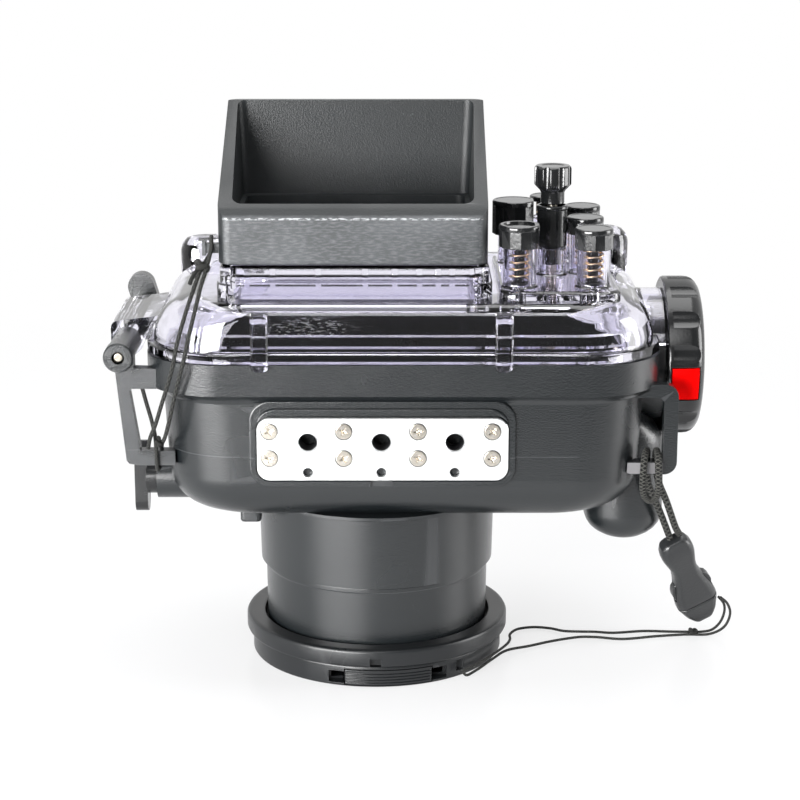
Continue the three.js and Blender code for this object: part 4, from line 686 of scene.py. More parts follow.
cam = turned([(17.2, 79.9), (17.2, 82.4), (16.9, 82.7), (2.8, 82.7)], 96)
joined(cam, turned([(6, 77.5), (6, 80.2)], 48))
mouth_half, lip_sweep, spiral_share = 62, 236, 0.15
lip_turns = [math.radians(90 + mouth_half + lip_sweep * i / 48) for i in range(49)]
lip_radii = [14.75 + 1.05 * max(0, 1 - (1 - i / 48) / spiral_share) for i in range(49)]
lip_points = [on_circle(17.2, turn) for turn in lip_turns]
lip_points += [on_circle(radius, turn) for radius, turn in zip(lip_radii[::-1], lip_turns[::-1])]
joined(cam, outline_block(lip_points, 77.5, 80.2))
cut(cam, rod(2.7, 76, 84))
edges_eased(cam, 0.2)
laid_along_x(cam, lock_axis)
seated(cam, "lock_cam_spiral", "lock", "satin_plastic", lock_black, "lock_cam")

spindle = turned([(4.6, 70), (5, 70.4), (5, 71.6), (4.6, 72), (2.4, 72), (2.4, 90.6), (2, 91)], 48)
edges_eased(spindle, 0.15)
laid_along_x(spindle, lock_axis)
seated(spindle, "lock_spindle_turned", "shell", "steel", screw_steel, "lock_spindle")


# Zoom knob
# A two-lobed lever knob low on the left side, pressed on a steel shaft whose small gear turns the
# camera's zoom ring inside the shell.
lobe_radius, waist, lobe_reach = 3.9, 2.6, 6.7
lean = math.asin((lobe_radius - waist) / lobe_reach)
wing = outline_block([
    on_circle(lobe_radius, start + (math.pi + 2 * lean) * i / 16, 0, reach)
    for start, reach in ((math.pi - lean, -lobe_reach), (-lean, lobe_reach)) for i in range(17)], -70, -66.3)
joined(wing, turned([(5.2, -66.6), (5.2, -63.7)], 48))
cut(wing, rod(2.2, -66.9, -63), turned([(3.2, -71), (3.2, -69.9), (2.6, -69.4)], 40))
edges_eased(wing, 0.55, segments=3)
laid_along_x(wing, zoom_axis)
seated(wing, "zoom_lever_knob", "zoom", "black_plastic", lock_black, "zoom_knob")
zoom_rod = turned([(1.6, -66.6), (1.9, -66.3), (1.9, -45.1), (1.5, -44.7)], 32)
edges_eased(zoom_rod, 0.1)
laid_along_x(zoom_rod, zoom_axis)
seated(zoom_rod, "zoom_shaft_turned", "zoom", "steel", screw_steel, "zoom_shaft")
gear_teeth, tooth = 12, ((0, 3.3), (0.22, 3.3), (0.36, 3.8), (0.44, 4), (0.76, 4), (0.84, 3.8))
gear = outline_block([
    on_circle(radius, 2 * math.pi * (i + share) / gear_teeth)
    for i in range(gear_teeth) for share, radius in tooth], -50.6, -46.2)
cut(gear, rod(2.2, -52, -45))
edges_eased(gear, 0.1, segments=1)
laid_along_x(gear, zoom_axis)
seated(gear, "zoom_gear_moulding", "zoom", "black_plastic", shell_black, "zoom_gear")


# Top side controls
# A round shutter button and a fluted mode knob on the camera's top side, each on a stem that
# passes a sealed boss in the shell.
shutter = turned([(1.3, -31), (1.6, -31.3), (1.6, -50), (5, -50), (5.4, -50.3), (5.4, -55.2), (5.1, -55.9),
                  (4.5, -56.4), (3.6, -56.5), (1.4, -56.2)], 72)
edges_eased(shutter, 0.12)
laid_along_y(shutter, shutter_axis)
seated(shutter, "shutter_button_cap", "shutter", "satin_plastic", lock_black, "shutter_button")
mode = turned([(1.7, -31), (2, -31.3), (2, -47.5), (8.6, -47.5), (9, -47.9), (9, -54.4), (8.7, -55.1),
               (8.1, -55.5), (6.4, -55.5), (6, -55.1), (2, -55.1)], 96)
mode_flutes = 12
for i in range(mode_flutes):
    flute = turned([(1.6, -49.1), (1.6, -57)], 24)
    cut(mode, moved(flute, *on_circle(9.8, 2 * math.pi * i / mode_flutes), 0))
edges_eased(mode, 0.15)
laid_along_y(mode, mode_axis)
seated(mode, "mode_knob_fluted", "mode", "satin_plastic", lock_black, "mode_knob")


# Camera pads
# Two soft rubber blocks stuck to the shell's floor hold the camera's face off it; their tops are
# ribbed so that they give a little.
pad_rubber = moulded(
    "pad_rubber", (0.011, 0.011, 0.012), (0.03, 0.03, 0.03),
    roughness=0.72, uneven=0.12, grain=1400, depth=0.5, wear=0.2)
for side, x, y in (("left", -38.5, 17), ("right", 49, 2)):
    pad = moulded_block(x - 7, x + 7, y - 13, y + 13, 2.5, [
        (53.9, 0.3), (54.3, 0), (58.1, 0), (58.9, 0.7)], steps=6)
    for i in range(4):
        line = y - 9 + 6 * i
        cut(pad, bar(x - 8, x + 8, line - 0.6, line + 0.6, 57.9, 60))
    edges_eased(pad, 0.25)
    seated(pad, f"camera_pad_{side}_ribbed", "shell", "pad_rubber", pad_rubber, f"camera_pad_{side}")


# Clear cover
# The hinged back, one thick moulding of clear polycarbonate with a violet cast, polished inside and
# out so that the camera's screen shows: a drawn shoulder, two plateaus, humps, button cups and hook.
def clear_plastic(name, tint, roughness, waviness):
    """Clear polycarbonate: slight moulding waves, a few smears in the gloss and a cast of colour."""
    material, tree = new_material(name)
    surface = moulded_look(tree, {
        "Colour": (*tint, 1), "Worn colour": (0.97, 0.97, 0.99, 1), "Roughness": roughness, "Unevenness": 0.05,
        "Grain scale": 90, "Wear": 0.2})
    place = surface_place(tree)
    from_smear = node(tree, "Mapping", {
        "Vector": place, "Location": (-0.0175, -0.042, 0.1066), "Scale": (0.021, 0.02, 0.0044)},
        vector_type='TEXTURE').outputs["Vector"]
    away = node(tree, "VectorMath", {0: from_smear}, operation='LENGTH').outputs["Value"]
    slanting = node(tree, "Mapping", {
        "Vector": place, "Rotation": (0, 0.5, 0), "Scale": (0.35, 1, 1.6)}).outputs["Vector"]
    dried = ranged(tree, noise(tree, slanting, 1500, 6), 0.5, 0.62)
    clouded = reckoned(tree, 'MULTIPLY_ADD', ranged(tree, away, 1, 0.3, 0, 0.36), dried, surface["Roughness"])
    shade(tree, {"Transmission Weight": 1, "IOR": 1.57, "Base Color": surface["Colour"], "Roughness": clouded,
                 "Normal": bumped(tree, surface["Height"], waviness, 0.0004)})
    return material


cover_clear = clear_plastic("cover_clear", (0.895, 0.88, 0.975), roughness=0.03, waviness=0.12)
rim_level, cover_wall = 96.6, 3
screen_plateau = (-43.3, 31.9, -30, 25, 5, 109.6, 121.8)
button_plateau = (34.6, 68.4, -33, 27, 5, 109.6, 115)
shoulder_rows = [
    (2.6, 0, 0, 0, 0), (5.2, 0.2, 0.2, 0.1, 0.1), (7.6, 0.7, 0.7, 0.3, 0.3), (9.8, 1.6, 1.4, 0.45, 0.45),
    (11.6, 2.8, 2.4, 0.7, 0.7), (13.1, 4.4, 3.8, 1, 1), (14.2, 6.3, 5.7, 1.5, 1.5), (15.2, 8.6, 7.5, 2.4, 2.4),
    (15.8, 10.2, 8.8, 3.1, 3.1), (16, 11.2, 9.7, 4, 4)]
inner_shoulder_rows = [
    (2.6, 0, 0, 0, 0), (3.7, 0.4, 0.35, 0.05, 0.05), (4.3, 0.6, 0.5, 0.6, 0.05), (6.8, 1.6, 1.4, 0.7, 0.2),
    (7.4, 1.9, 1.7, 1.25, 0.2), (10.1, 4.4, 3.8, 1.4, 0.4), (11.9, 7.4, 6.6, 1.6, 0.6), (12.6, 9.2, 7.9, 2, 1),
    (12.9, 10.6, 9.1, 2.6, 1.7)]


def plateau(inset, left, right, near, far, corner, low, top, fillet=1.25):
    """A raised block with a rounded upper edge, drawn in all round and lowered by the inset."""
    return moulded_block(left + inset, right - inset, near + inset, far - inset, corner - inset / 2, [
        (low, 0), (top - inset - fillet, 0), (top - inset - 0.5 * fillet, 0.14 * fillet),
        (top - inset - 0.14 * fillet, 0.5 * fillet), (top - inset, fillet)], steps=7)


def cover_blocks(inset):
    """The blocks that the cover's outer form joins, or, a wall smaller, those that hollow it."""
    if inset:
        rim = moulded_block(-56.3, 72.3, -37, 40, 17, [(95.6, 0), (100.4, 0)])
    else:
        rim = moulded_block(-64.5, 80.5, -42, 45, 22, [
            (rim_level, 0.25), (96.85, 0), (98.9, 0), (99.25, 0.2), (99.4, 0.7)], steps=12)
    rows = inner_shoulder_rows if inset else shoulder_rows
    outline = (-62.7 + inset, 78.7 - inset, -41.1 + inset, 44.1 - inset, 21.1 - inset)
    shoulder = moulded_block(*outline, [(rim_level + height, *draw) for height, *draw in rows], steps=12)
    low = 99.8 if inset else 96.7
    humps = plateau(inset, -60, -33, 29, 42.5, 6.2, low, 118.5, 4)
    joined(humps, plateau(inset, 60, 76.5, 28, 42.5, 6.2, low, 121.5, 4))
    worked(humps, moulded_block(*outline, [(95, 0), (124, 0)], steps=12), 'INTERSECT')
    return [rim, shoulder, plateau(inset, *screen_plateau), plateau(inset, *button_plateau), humps]


def lock_sector(inner, outer, half_turn, low, high):
    """A sector of a ring about the lock's axis, its middle upward."""
    points = [on_circle(radius, math.radians(90 + way * half_turn * (1 - i / 12)))
              for radius, way in ((outer, 1), (inner, -1)) for i in range(25)]
    return laid_along_x(outline_block(points, low, high), lock_axis)


cover = joined(*cover_blocks(0))
cut(cover, *cover_blocks(cover_wall))
thick_wall = lock_sector(4.5, 17.8, 69, 70.8, 77.2)
worked(thick_wall, bar(69, 84, -20, 20, rim_level, 110), 'INTERSECT')
joined(cover, thick_wall)
cut(cover, laid_along_x(rod(17.8, 77.2, 106, 96), lock_axis))
tongue = lock_sector(17.75, 19.6, 69.6, 72.3, 82.6)
worked(tongue, bar(69, 84, -20, 20, rim_level, 110), 'INTERSECT')
joined(cover, tongue, lock_sector(10.5, 14.4, 26, 76.9, 79.6))

knuckle_round = [
    on_circle(4.8, math.radians(180 + 180 * i / 15), hinge_axis[0], hinge_axis[2]) for i in range(1, 15)]
joined(cover, laid_along_y(outline_block([
    (-76.2, 96.5), *knuckle_round, (-66.6, 96.5), (-61.5, rim_level), (-61.5, 103.6), (-74.8, 101.9),
    (-75.9, 101.1), (-76.2, 100)], -23.3, 10.5)))
cut(cover, laid_along_y(rod(1.8, -24.3, 11.5), hinge_axis))

for x in (-31.5, 35.5):
    left, right = x - 2.4, x + 2.4
    rib = laid_along_y(moulded_block(left, right, 94.8, 111.4, 1.6, [(42.3, 0), (43.8, 0), (44.3, 0.5)], steps=6))
    joined(cover, rib, bar(left, right, -42.6, -40.2, rim_level, 111))
    cut(cover, laid_along_y(moulded_block(x - 1.2, x + 1.2, 97.4, 109.9, 0.9, [(42.9, 0), (45, 0)], steps=4)))
step = moulded_block(-44.2, 32.8, -30.9, 25.9, 5.9, [(112, 0), (116.2, 0), (116.6, 0.4)], steps=7)
cut(step, plateau(cover_wall, *screen_plateau))
joined(cover, step)
for x in (-39.2, -35.4, -28.2, -15.6, -2.6, 5.6, 12.4, 17.6, 21.4, 27):
    joined(cover, bar(x - 0.75, x + 0.75, -31, -29, 115.6, 121.2))
joined(cover, laid_along_y(moulded_block(-41, 29.6, 117.2, 117.9, 0.3, [(29.5, 0), (30.5, 0)], steps=3)))

button_places = {"menu": (40.4, -24), "playback": (61, -24), "display": (60.2, -4), "movie": (60.7, 14),
                 "function": (40.5, 12), "exposure": (50.6, 20)}
for x, y in button_places.values():
    cup = turned([(5.2, 114), (5.2, 115), (4.75, 115.4), (4.6, 116), (4.6, 126.9), (4.35, 127.2)], 56)
    joined(cover, moved(cup, x, y, 0))
dial_place = (50.5, -6, 0)
dial_cup = turned([(4.9, 114), (4.9, 115), (4.4, 115.5), (4.3, 116), (4.3, 122.5), (4, 122.8)], 56)
joined(cover, moved(dial_cup, *dial_place))
for x, y in button_places.values():
    cut(cover, moved(turned([(3.4, 115), (3.7, 115.3), (3.7, 129)], 48), x, y, 0),
        moved(rod(1.7, 111, 116, 24), x, y, 0))
cut(cover, moved(rod(2.9, 115, 124, 40), *dial_place), moved(rod(1.8, 111, 116, 24), *dial_place))
edges_eased(cover, 0.22, angle=30)
seated(cover, "clear_cover_moulding", "cover", "clear_plastic", cover_clear, "rear_cover")


# Screen hood
# A grey-black hood pushed on round the screen so that it reads in sunlight: four plain walls, the
# far one the tallest, sides cut on a slope, moulded with a fine matt texture and a lanyard lug.
hood_grey = moulded(
    "hood_grey", (0.0125, 0.0145, 0.0155), (0.12, 0.125, 0.13),
    roughness=0.42, uneven=0.4, grain=2300, depth=0.35, wear=0.5, gloss=0.38)


def scuffed_and_bounce_lit_wall(material, plane, edge):
    """Handling scuffs along the near wall's outer face and its upper edge rubbed pale, with painted bounce light:
    that outer face alone is lightened as if lit from the white table in front.
    """
    tree = material.node_tree
    place = surface_place(tree)
    outer = ranged(tree, along(tree, place, "Y"), (plane + 0.9) * mm, (plane + 0.3) * mm)
    band = reckoned(tree, 'COMPARE', along(tree, place, "Z"), edge * mm, 0.3 * mm)
    # The broad first tone is partly scuffing and partly painted light, the table's bounce on the outer face; the
    # second is fine scuffs, the third the rubbed upper edge.
    for scale, stretch, low, high, gate, tone in (
            (60, (0.6, 1, 1.2), 0.15, 0.7, None, (0.085, 0.089, 0.094, 1)),
            (1900, (0.25, 1, 1), 0.45, 0.85, None, (0.15, 0.155, 0.16, 1)),
            (1700, (0.4, 1, 1), 0.44, 0.58, band, (0.42, 0.43, 0.44, 1))):
        lie = node(tree, "Mapping", {"Vector": place, "Scale": stretch}).outputs["Vector"]
        amount = ranged(tree, noise(tree, lie, scale, 5), low, high, 0, 0.8)
        share = reckoned(tree, 'MULTIPLY', amount, outer)
        if gate:
            share = reckoned(tree, 'MULTIPLY', share, gate)
        marked(material, share, tone)


hood_outline = (-43.4, 31.4, -30, 22)
# Scuffs, painted bounce light on the near wall's outer face, and its pale upper edge.
scuffed_and_bounce_lit_wall(hood_grey, plane=hood_outline[2], edge=134.9)
hood = moulded_block(*hood_outline, 3.6, [(122.1, 0.3), (122.5, 0), (161.8, 0)], steps=8)
above = laid_along_x(outline_block([
    (-33, 163), (-33, 132.3), (-29.6, 135.5), (-27.6, 137.5), (-25.6, 138.9),
    (18.9, 161.9), (18.9, 163)], -46, 34))
cut(hood, above, moulded_block(*hood_outline, 3, [(121.1, 5.4), (134, 5.4), (134.4, 4.1), (162.8, 2.8)], steps=6))
joined(hood, bar(-47.8, -42.3, -27.8, -25.2, 125, 127.6), bar(-47.8, -46.8, -28.4, -24.6, 124.4, 128.2))
edges_eased(hood, 0.45, segments=3)
seated(hood, "screen_hood_moulding", "cover", "hood_plastic", hood_grey, "lcd_hood")


# Push buttons
# Glossy black caps that slide down over clear cups. Under each, a bronze-coloured coil spring
# pushes the cap up and a small rubber ring seals the cap's stem where it passes the cover.
button_black = moulded(
    "button_black", (0.008, 0.0085, 0.009), (0.06, 0.06, 0.06),
    roughness=0.12, uneven=0.1, grain=1200, depth=0.08, wear=0.25, gloss=0.6)
spring_bronze = blasted_metal("spring_bronze", (0.78, 0.56, 0.3), roughness=0.22, streak=1)
button_shapes = {"menu": (5.9, 5.3, 132.5, 126, 0.6), "playback": (5.4, 5.4, 131.5, 125.5, 0),
                 "display": (5.3, 5.3, 131.3, 126.2, 0), "movie": (5.3, 5.3, 131.6, 126.2, 0),
                 "function": (6.4, 5.6, 133.5, 123.4, 0), "exposure": (5.1, 5.1, 133.6, 126.2, 0)}
spring_foot, button_travel = 116.5, 2.5


def spring_wire(radius, wire, low, high, turns):
    """A wire's section swept up a helix by the Screw modifier, its two ends closed."""
    bpy.ops.object.select_all(action='DESELECT')
    bpy.ops.mesh.primitive_circle_add(vertices=12, radius=wire / 2 * mm, rotation=(math.pi / 2, 0, 0),
                                      location=(radius * mm, 0, (low + wire / 2) * mm))
    coil = settle(bpy.context.object)
    modified(coil, 'SCREW', axis='Z', iterations=turns, screw_offset=(high - low - wire) / turns * mm,
             steps=28, render_steps=28)
    into_editing(coil)
    bpy.ops.mesh.select_non_manifold()
    bpy.ops.mesh.edge_face_add()
    faces_outward()
    bpy.ops.object.shade_smooth_by_angle(angle=math.radians(50))
    return coil


for name, (radius, flat, top, low, dish) in button_shapes.items():
    x, y = button_places[name]
    button = turned([(radius - 0.18, low + 0.15), (radius - 0.05, low + 0.3), (radius - 0.05, top - 1.5)], 12)
    head = turned([(radius - 0.35, top - 1.7), (radius, top - 1.45), (radius, top - 0.5),
                   (radius - 0.12, top - 0.2), (radius - 0.4, top)], 72)
    joined(button, head)
    if flat < radius:
        cut(button, bar(flat, radius + 1, -radius - 1, radius + 1, low - 1, top + 1))
    cut(button, rod(4.95, low - 1, top - 1.4, 48))
    if dish:
        well = turned([(radius - 1.3, top - dish), (radius - 1.1, top + 1)], 64)
        cut(well, bar(flat - 1.2, radius + 1, -radius, radius, top - 1, top + 2))
        cut(button, well)
    else:
        rim = turned([(radius - 0.95, top - 0.08), (radius - 0.7, top + 0.4)], 64)
        if flat < radius:
            cut(rim, bar(flat - 0.6, radius + 1, -radius, radius, top - 1, top + 2))
        cut(button, rim)
    stem = turned([(1.15, 109.5), (1.4, 109.8), (1.4, top - 0.9)], 28)
    joined(button, stem)
    edges_eased(button, 0.16, angle=24)
    moved(button, x, y, 0)
    seated(button, f"{name}_button_cap", f"{name}_button", "satin_plastic", button_black, f"{name}_button")
    washer = turned([(1.72, 115.35), (2.1, 115.32), (2.3, 115.6), (2.3, 115.95), (2.1, 116.2), (1.72, 116.18),
                     (1.72, 115.35)], 36, ring=True)
    edges_eased(washer, 0.08)
    moved(washer, x, y, 0)
    seated(washer, f"{name}_stem_seal", "cover", "seal_rubber", seal_rubber, f"{name}_button_seal")
    spring_top = top - 1.7
    coil = spring_wire(radius=2.75, wire=0.6, low=spring_foot, high=spring_top, turns=7)
    moved(coil, x, y, 0)
    seated(coil, f"{name}_return_spring", "cover", "spring_steel", spring_bronze, f"{name}_button_spring")
    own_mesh(coil)


# Dial
# A turned black sleeve screwed into the cover guides a steel stem with a foot inside the housing;
# the fluted head on it is pushed down onto the camera's dial and turned.
sleeve = turned([(1.8, 118), (2.6, 118), (2.6, 123.1), (4.05, 123.1), (4.3, 123.35), (4.3, 133.7), (4.55, 134),
                 (4.55, 134.7), (4.3, 135), (3.7, 135), (3.7, 132.1), (1.8, 132.1), (1.8, 118)], 72, ring=True)
edges_eased(sleeve, 0.12)
moved(sleeve, *dial_place)
seated(sleeve, "dial_guide_sleeve", "cover", "satin_plastic", button_black, "dial_sleeve")
stem = turned([(2.7, 106.7), (3, 107), (3, 108.4), (2.7, 108.7), (1.5, 108.7), (1.5, 141.5), (1.3, 141.8)], 32)
edges_eased(stem, 0.1)
moved(stem, *dial_place)
seated(stem, "dial_stem_turned", "dial_stem", "steel", screw_steel, "dial_stem")
head = turned([(3.1, 135.4), (3.4, 135.7), (3.4, 138.6), (3.7, 139.3), (4.7, 140.3), (5.3, 141), (5.3, 145.4),
               (5.15, 145.9), (4.7, 146.3), (3.4, 146.3), (3, 146.1), (0.6, 146.1)], 120)
head_flutes = 8
for i in range(head_flutes):
    flute = turned([(1.3, 138.6), (1.3, 147.4)], 28)
    cut(head, moved(flute, *on_circle(5.95, 2 * math.pi * (i + 0.5) / head_flutes), 0))
cut(head, rod(1.8, 134, 142.1))
edges_eased(head, 0.25, angle=26)
moved(head, *dial_place)
seated(head, "dial_fluted_head", "dial", "satin_plastic", button_black, "dial_knob")


# Hood lanyard
# A thin black elastic cord, tied in the left bracket and looped round the hood's lug, so that the
# hood isn't lost when it is pulled off: a knot at the lug, and one where it enters the bracket.
def smooth_route(points, per_span):
    """The even curve through given points, as close points in metres."""
    held = [Vector(point) * mm for point in points]
    ends = [2 * held[0] - held[1], *held, 2 * held[-1] - held[-2]]
    route = []
    for a, b, c, d in zip(ends, ends[1:], ends[2:], ends[3:]):
        t1 = (b - a).length ** 0.5
        t2 = t1 + (c - b).length ** 0.5
        t3 = t2 + (d - c).length ** 0.5
        for i in range(per_span):
            t = t1 + (t2 - t1) * i / per_span
            ab = a.lerp(b, t / t1)
            bc = b.lerp(c, (t - t1) / (t2 - t1))
            cd = c.lerp(d, (t - t2) / (t3 - t2))
            route.append(ab.lerp(bc, t / t2).lerp(bc.lerp(cd, (t - t1) / (t3 - t1)), (t - t1) / (t2 - t1)))
    return route + [held[-1]]


def cord_tube(route, width, sides=12):
    """A cord as a round tube along its route, its UV map running along and round it."""
    line = bpy.data.curves.new("cord_line", 'CURVE')
    line.dimensions = '3D'
    spline = line.splines.new('POLY')
    spline.points.add(len(route) - 1)
    for point, place in zip(spline.points, route):
        point.co = (*place, 1)
    line.bevel_depth = width / 2 * mm
    line.bevel_resolution = (sides - 4) // 2
    line.use_fill_caps = True
    tube = bpy.data.objects.new("cord", line)
    bpy.context.scene.collection.objects.link(tube)
    one_selected(tube)
    bpy.ops.object.convert(target='MESH')
    tube = bpy.context.object
    bpy.ops.object.shade_smooth()
    return tube


def braided_cord(name, colour, light, along_turns, around_turns, depth):
    """A braided or laid cord: crossing strands by the UV map, fibre fuzz and a dull sheen."""
    material, tree = new_material(name)
    length_and_round = surface_place(tree, "UV")
    run = reckoned(tree, 'MULTIPLY', along(tree, length_and_round, "X"), along_turns)
    strands = []
    for way in (1, -1):
        turns = reckoned(tree, 'MULTIPLY_ADD', along(tree, length_and_round, "Y"), around_turns * way, run)
        strands.append(reckoned(tree, 'SINE', reckoned(tree, 'MULTIPLY', turns, 2 * math.pi)))
    weave = reckoned(tree, 'MAXIMUM', *strands)
    fuzz = noise(tree, surface_place(tree), 6000)
    height = reckoned(tree, 'MULTIPLY_ADD', fuzz, 0.4, weave)
    shade(tree, {
        "Roughness": 0.75, "Specular IOR Level": 0.2, "Sheen Weight": 0.03,
        "Base Color": mixed(tree, ranged(tree, height, 0.75, 1.35), (*colour, 1), (*light, 1)),
        "Normal": bumped(tree, height, depth, 0.0001)})
    return material


elastic_black = braided_cord(
    "elastic_black", (0.01, 0.01, 0.01), (0.06, 0.061, 0.055),
    along_turns=130, around_turns=4, depth=0.7)
hood_cord_points = [
    (-65.2, -30.6, 87), (-64.2, -30.8, 83), (-62.8, -31.4, 78), (-61.8, -32.4, 73.6), (-61.5, -33.6, 70.4),
    (-61.4, -33.9, 67), (-61.3, -33, 64.2), (-61.1, -30.6, 63.8), (-60.9, -27.8, 65), (-60.7, -27.2, 68.4),
    (-60.2, -29.2, 71), (-59.7, -32.6, 72), (-58.6, -35.8, 74.5), (-57, -38.6, 80), (-55.2, -41.2, 87),
    (-53.6, -43.1, 93), (-52.2, -43.8, 98), (-50.6, -43, 105), (-49, -40.6, 111.5), (-47.6, -36.2, 117.5),
    (-46.4, -32.2, 121.5), (-45.6, -29.8, 124.6), (-45.2, -28.8, 126.6), (-45.2, -27.4, 129.1),
    (-45.4, -25.4, 129.1), (-45.7, -24.1, 126.6), (-46, -24.3, 124.3), (-46.5, -26.2, 123.4), (-47, -29.2, 122.6),
    (-48.4, -33, 120), (-50, -37.6, 115.5), (-51.8, -41.2, 110), (-53.8, -43.6, 103), (-55.2, -43.8, 96.5),
    (-57, -42, 90.5), (-59.2, -39, 84), (-61.2, -36.6, 78), (-63, -34.6, 73.6), (-63.8, -32.4, 70.2)]
hood_cord_width = 1.15
hood_route = smooth_route(hood_cord_points, 6)
hood_cord = cord_tube(hood_route, hood_cord_width)
hood_cord.name = "hood_elastic_cord"
hood_cord.data.materials.append(elastic_black)
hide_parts("hood_lanyard")
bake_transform(hood_cord)


def cord_knot(size, place, turn):
    """An overhand knot: a trefoil of the cord pulled tight."""
    route = []
    for i in range(73):
        angle = 2 * math.pi * i / 72
        flat = Vector((math.sin(angle) + 2 * math.sin(2 * angle), math.cos(angle) - 2 * math.cos(2 * angle),
                       -math.sin(3 * angle)))
        route.append(Matrix.Rotation(turn, 3, 'Y') @ flat * (size / 6 * mm) + Vector(place) * mm)
    return cord_tube(route, size * 0.36)


lug_knot = cord_knot(3.9, (-47.7, -30.9, 122), 0.5)
tail_points = [(-48.2, -31.6, 122), (-49.4, -32.6, 120.6), (-50.4, -33, 118.8), (-51, -33, 117.2)]
tail = cord_tube(smooth_route(tail_points, 5), hood_cord_width)
one_selected(lug_knot)
tail.select_set(True)
bpy.ops.object.join()
seated(lug_knot, "hood_cord_lug_knot", "cover", "cord_fibre", elastic_black)
bracket_knot = cord_knot(2.8, (-60.6, -33.4, 72.2), 1.2)
seated(bracket_knot, "hood_cord_bracket_knot", "shell", "cord_fibre", elastic_black)


# Wrist cord
# A round braided cord hitched through the right strap bar; its two ends are moulded into the
# buckle below.
wrist_black = braided_cord(
    "wrist_black", (0.003, 0.003, 0.003), (0.1, 0.1, 0.09),
    along_turns=95, around_turns=3, depth=1.0)
wrist_points = [
    (86.3, -12.5, 37.1), (84.4, -15.8, 42), (82.2, -19.2, 47.5), (79.8, -23, 53), (78, -25.6, 57.4),
    (77.2, -26.8, 61.4), (77.1, -26.9, 65), (77, -28.3, 68.2), (76.2, -31.6, 68.4), (75.6, -34.1, 66.4),
    (75.4, -34.4, 62.5), (75.5, -34, 58.8), (76.3, -33.3, 56), (77.9, -32.9, 54.9), (79.3, -33.3, 56),
    (79.9, -34, 58.8), (79.7, -34.4, 62.8), (79.6, -34.1, 66.4), (79.6, -31.6, 68.3), (79.6, -28.3, 68.2),
    (79.6, -26.9, 65), (80.1, -26.3, 61), (81.5, -24.1, 56.6), (83.6, -21, 51.7), (85.8, -17.4, 45.8),
    (87.6, -14.4, 41), (89, -12.1, 38.3)]
wrist_cord_width = 2
wrist_route = smooth_route(wrist_points, 7)
wrist_cord = cord_tube(wrist_route, wrist_cord_width, 16)
seated(wrist_cord, "wrist_braided_cord", "shell", "cord_fibre", wrist_black, "wrist_cord")


# Buckle
# A two-part black nylon buckle between the cords: a waisted body, and a clip whose two sprung
# prongs show and are squeezed in oval windows at its sides.
buckle_black = moulded(
    "buckle_black", (0.016, 0.017, 0.018), (0.07, 0.07, 0.07),
    roughness=0.3, uneven=0.2, grain=1500, depth=0.25, wear=0.5)
buckle_top, buckle_tip = Vector((87, -12.2, 36.6)), Vector((101.3, 10.6, 1.9))
buckle_axis = (buckle_tip - buckle_top).normalized()
buckle_side = buckle_axis.cross(Vector((0, 0.97, -0.25))).normalized()
buckle_back = buckle_axis.cross(buckle_side)
buckle_place = Matrix((buckle_side, buckle_back, buckle_axis)).transposed().to_4x4()
buckle_place.translation = buckle_top * mm


def buckle_loft(rows):
    """A rounded form from rows of level, half width and half thickness."""
    half, thick = rows[0][1], rows[0][2]
    widest, deepest = max(row[1] for row in rows), max(row[2] for row in rows)
    return moulded_block(-widest, widest, -deepest, deepest, deepest * 0.85, [
        (level, widest - half, widest - half, deepest - thick, deepest - thick)
        for level, half, thick in rows], steps=6)


buckle_body = buckle_loft([
    (0, 1.9, 1.5), (0.35, 3, 2.1), (1.2, 4.2, 2.6), (3, 4.9, 2.95), (5, 5.1, 3.1), (7, 5, 3.15), (9, 4.6, 3.1),
    (11.5, 4.1, 3.05), (14, 3.9, 3), (17, 4.25, 3.05), (20, 4.9, 3.1), (23.5, 5.7, 3.15), (27, 6.3, 3.2),
    (29.2, 6.5, 3.2), (29.6, 6.35, 3.05)])
cut(buckle_body, bar(-3.1, 3.1, -1.5, 1.5, 16, 30))
cut(buckle_body, laid_along_x(moulded_block(-1.5, 1.5, 18.2, 26.8, 1.4, [(-13, 0), (13, 0)], steps=6)))
edges_eased(buckle_body, 0.3, segments=3)
settle(buckle_body, buckle_place)
seated(buckle_body, "buckle_waisted_body", "shell", "black_plastic", buckle_black, "buckle_body")

buckle_clip = buckle_loft([(30.05, 6.2, 2.95), (30.4, 6.5, 3.2), (33, 5.7, 3.1), (35.2, 5, 2.9), (37, 4.1, 2.6),
                           (38.4, 3.3, 2.2), (39.1, 2.7, 1.9), (39.4, 2.1, 1.4)])
for side in (-1, 1):
    prong_points = [(1.6, 31), (1.6, 19), (2.2, 18.5), (2.8, 18.5), (4.6, 19), (5.6, 20), (6.2, 21.8), (6.4, 23.4),
                    (6, 25.4), (5.4, 26.5), (2.8, 26.5), (2.8, 31)]
    joined(buckle_clip, laid_along_y(outline_block([(side * a, b) for a, b in prong_points], -1.2, 1.2)))
edges_eased(buckle_clip, 0.3, segments=3)
settle(buckle_clip, buckle_place)
seated(buckle_clip, "buckle_pronged_clip", "shell", "black_plastic", buckle_black, "buckle_clip")


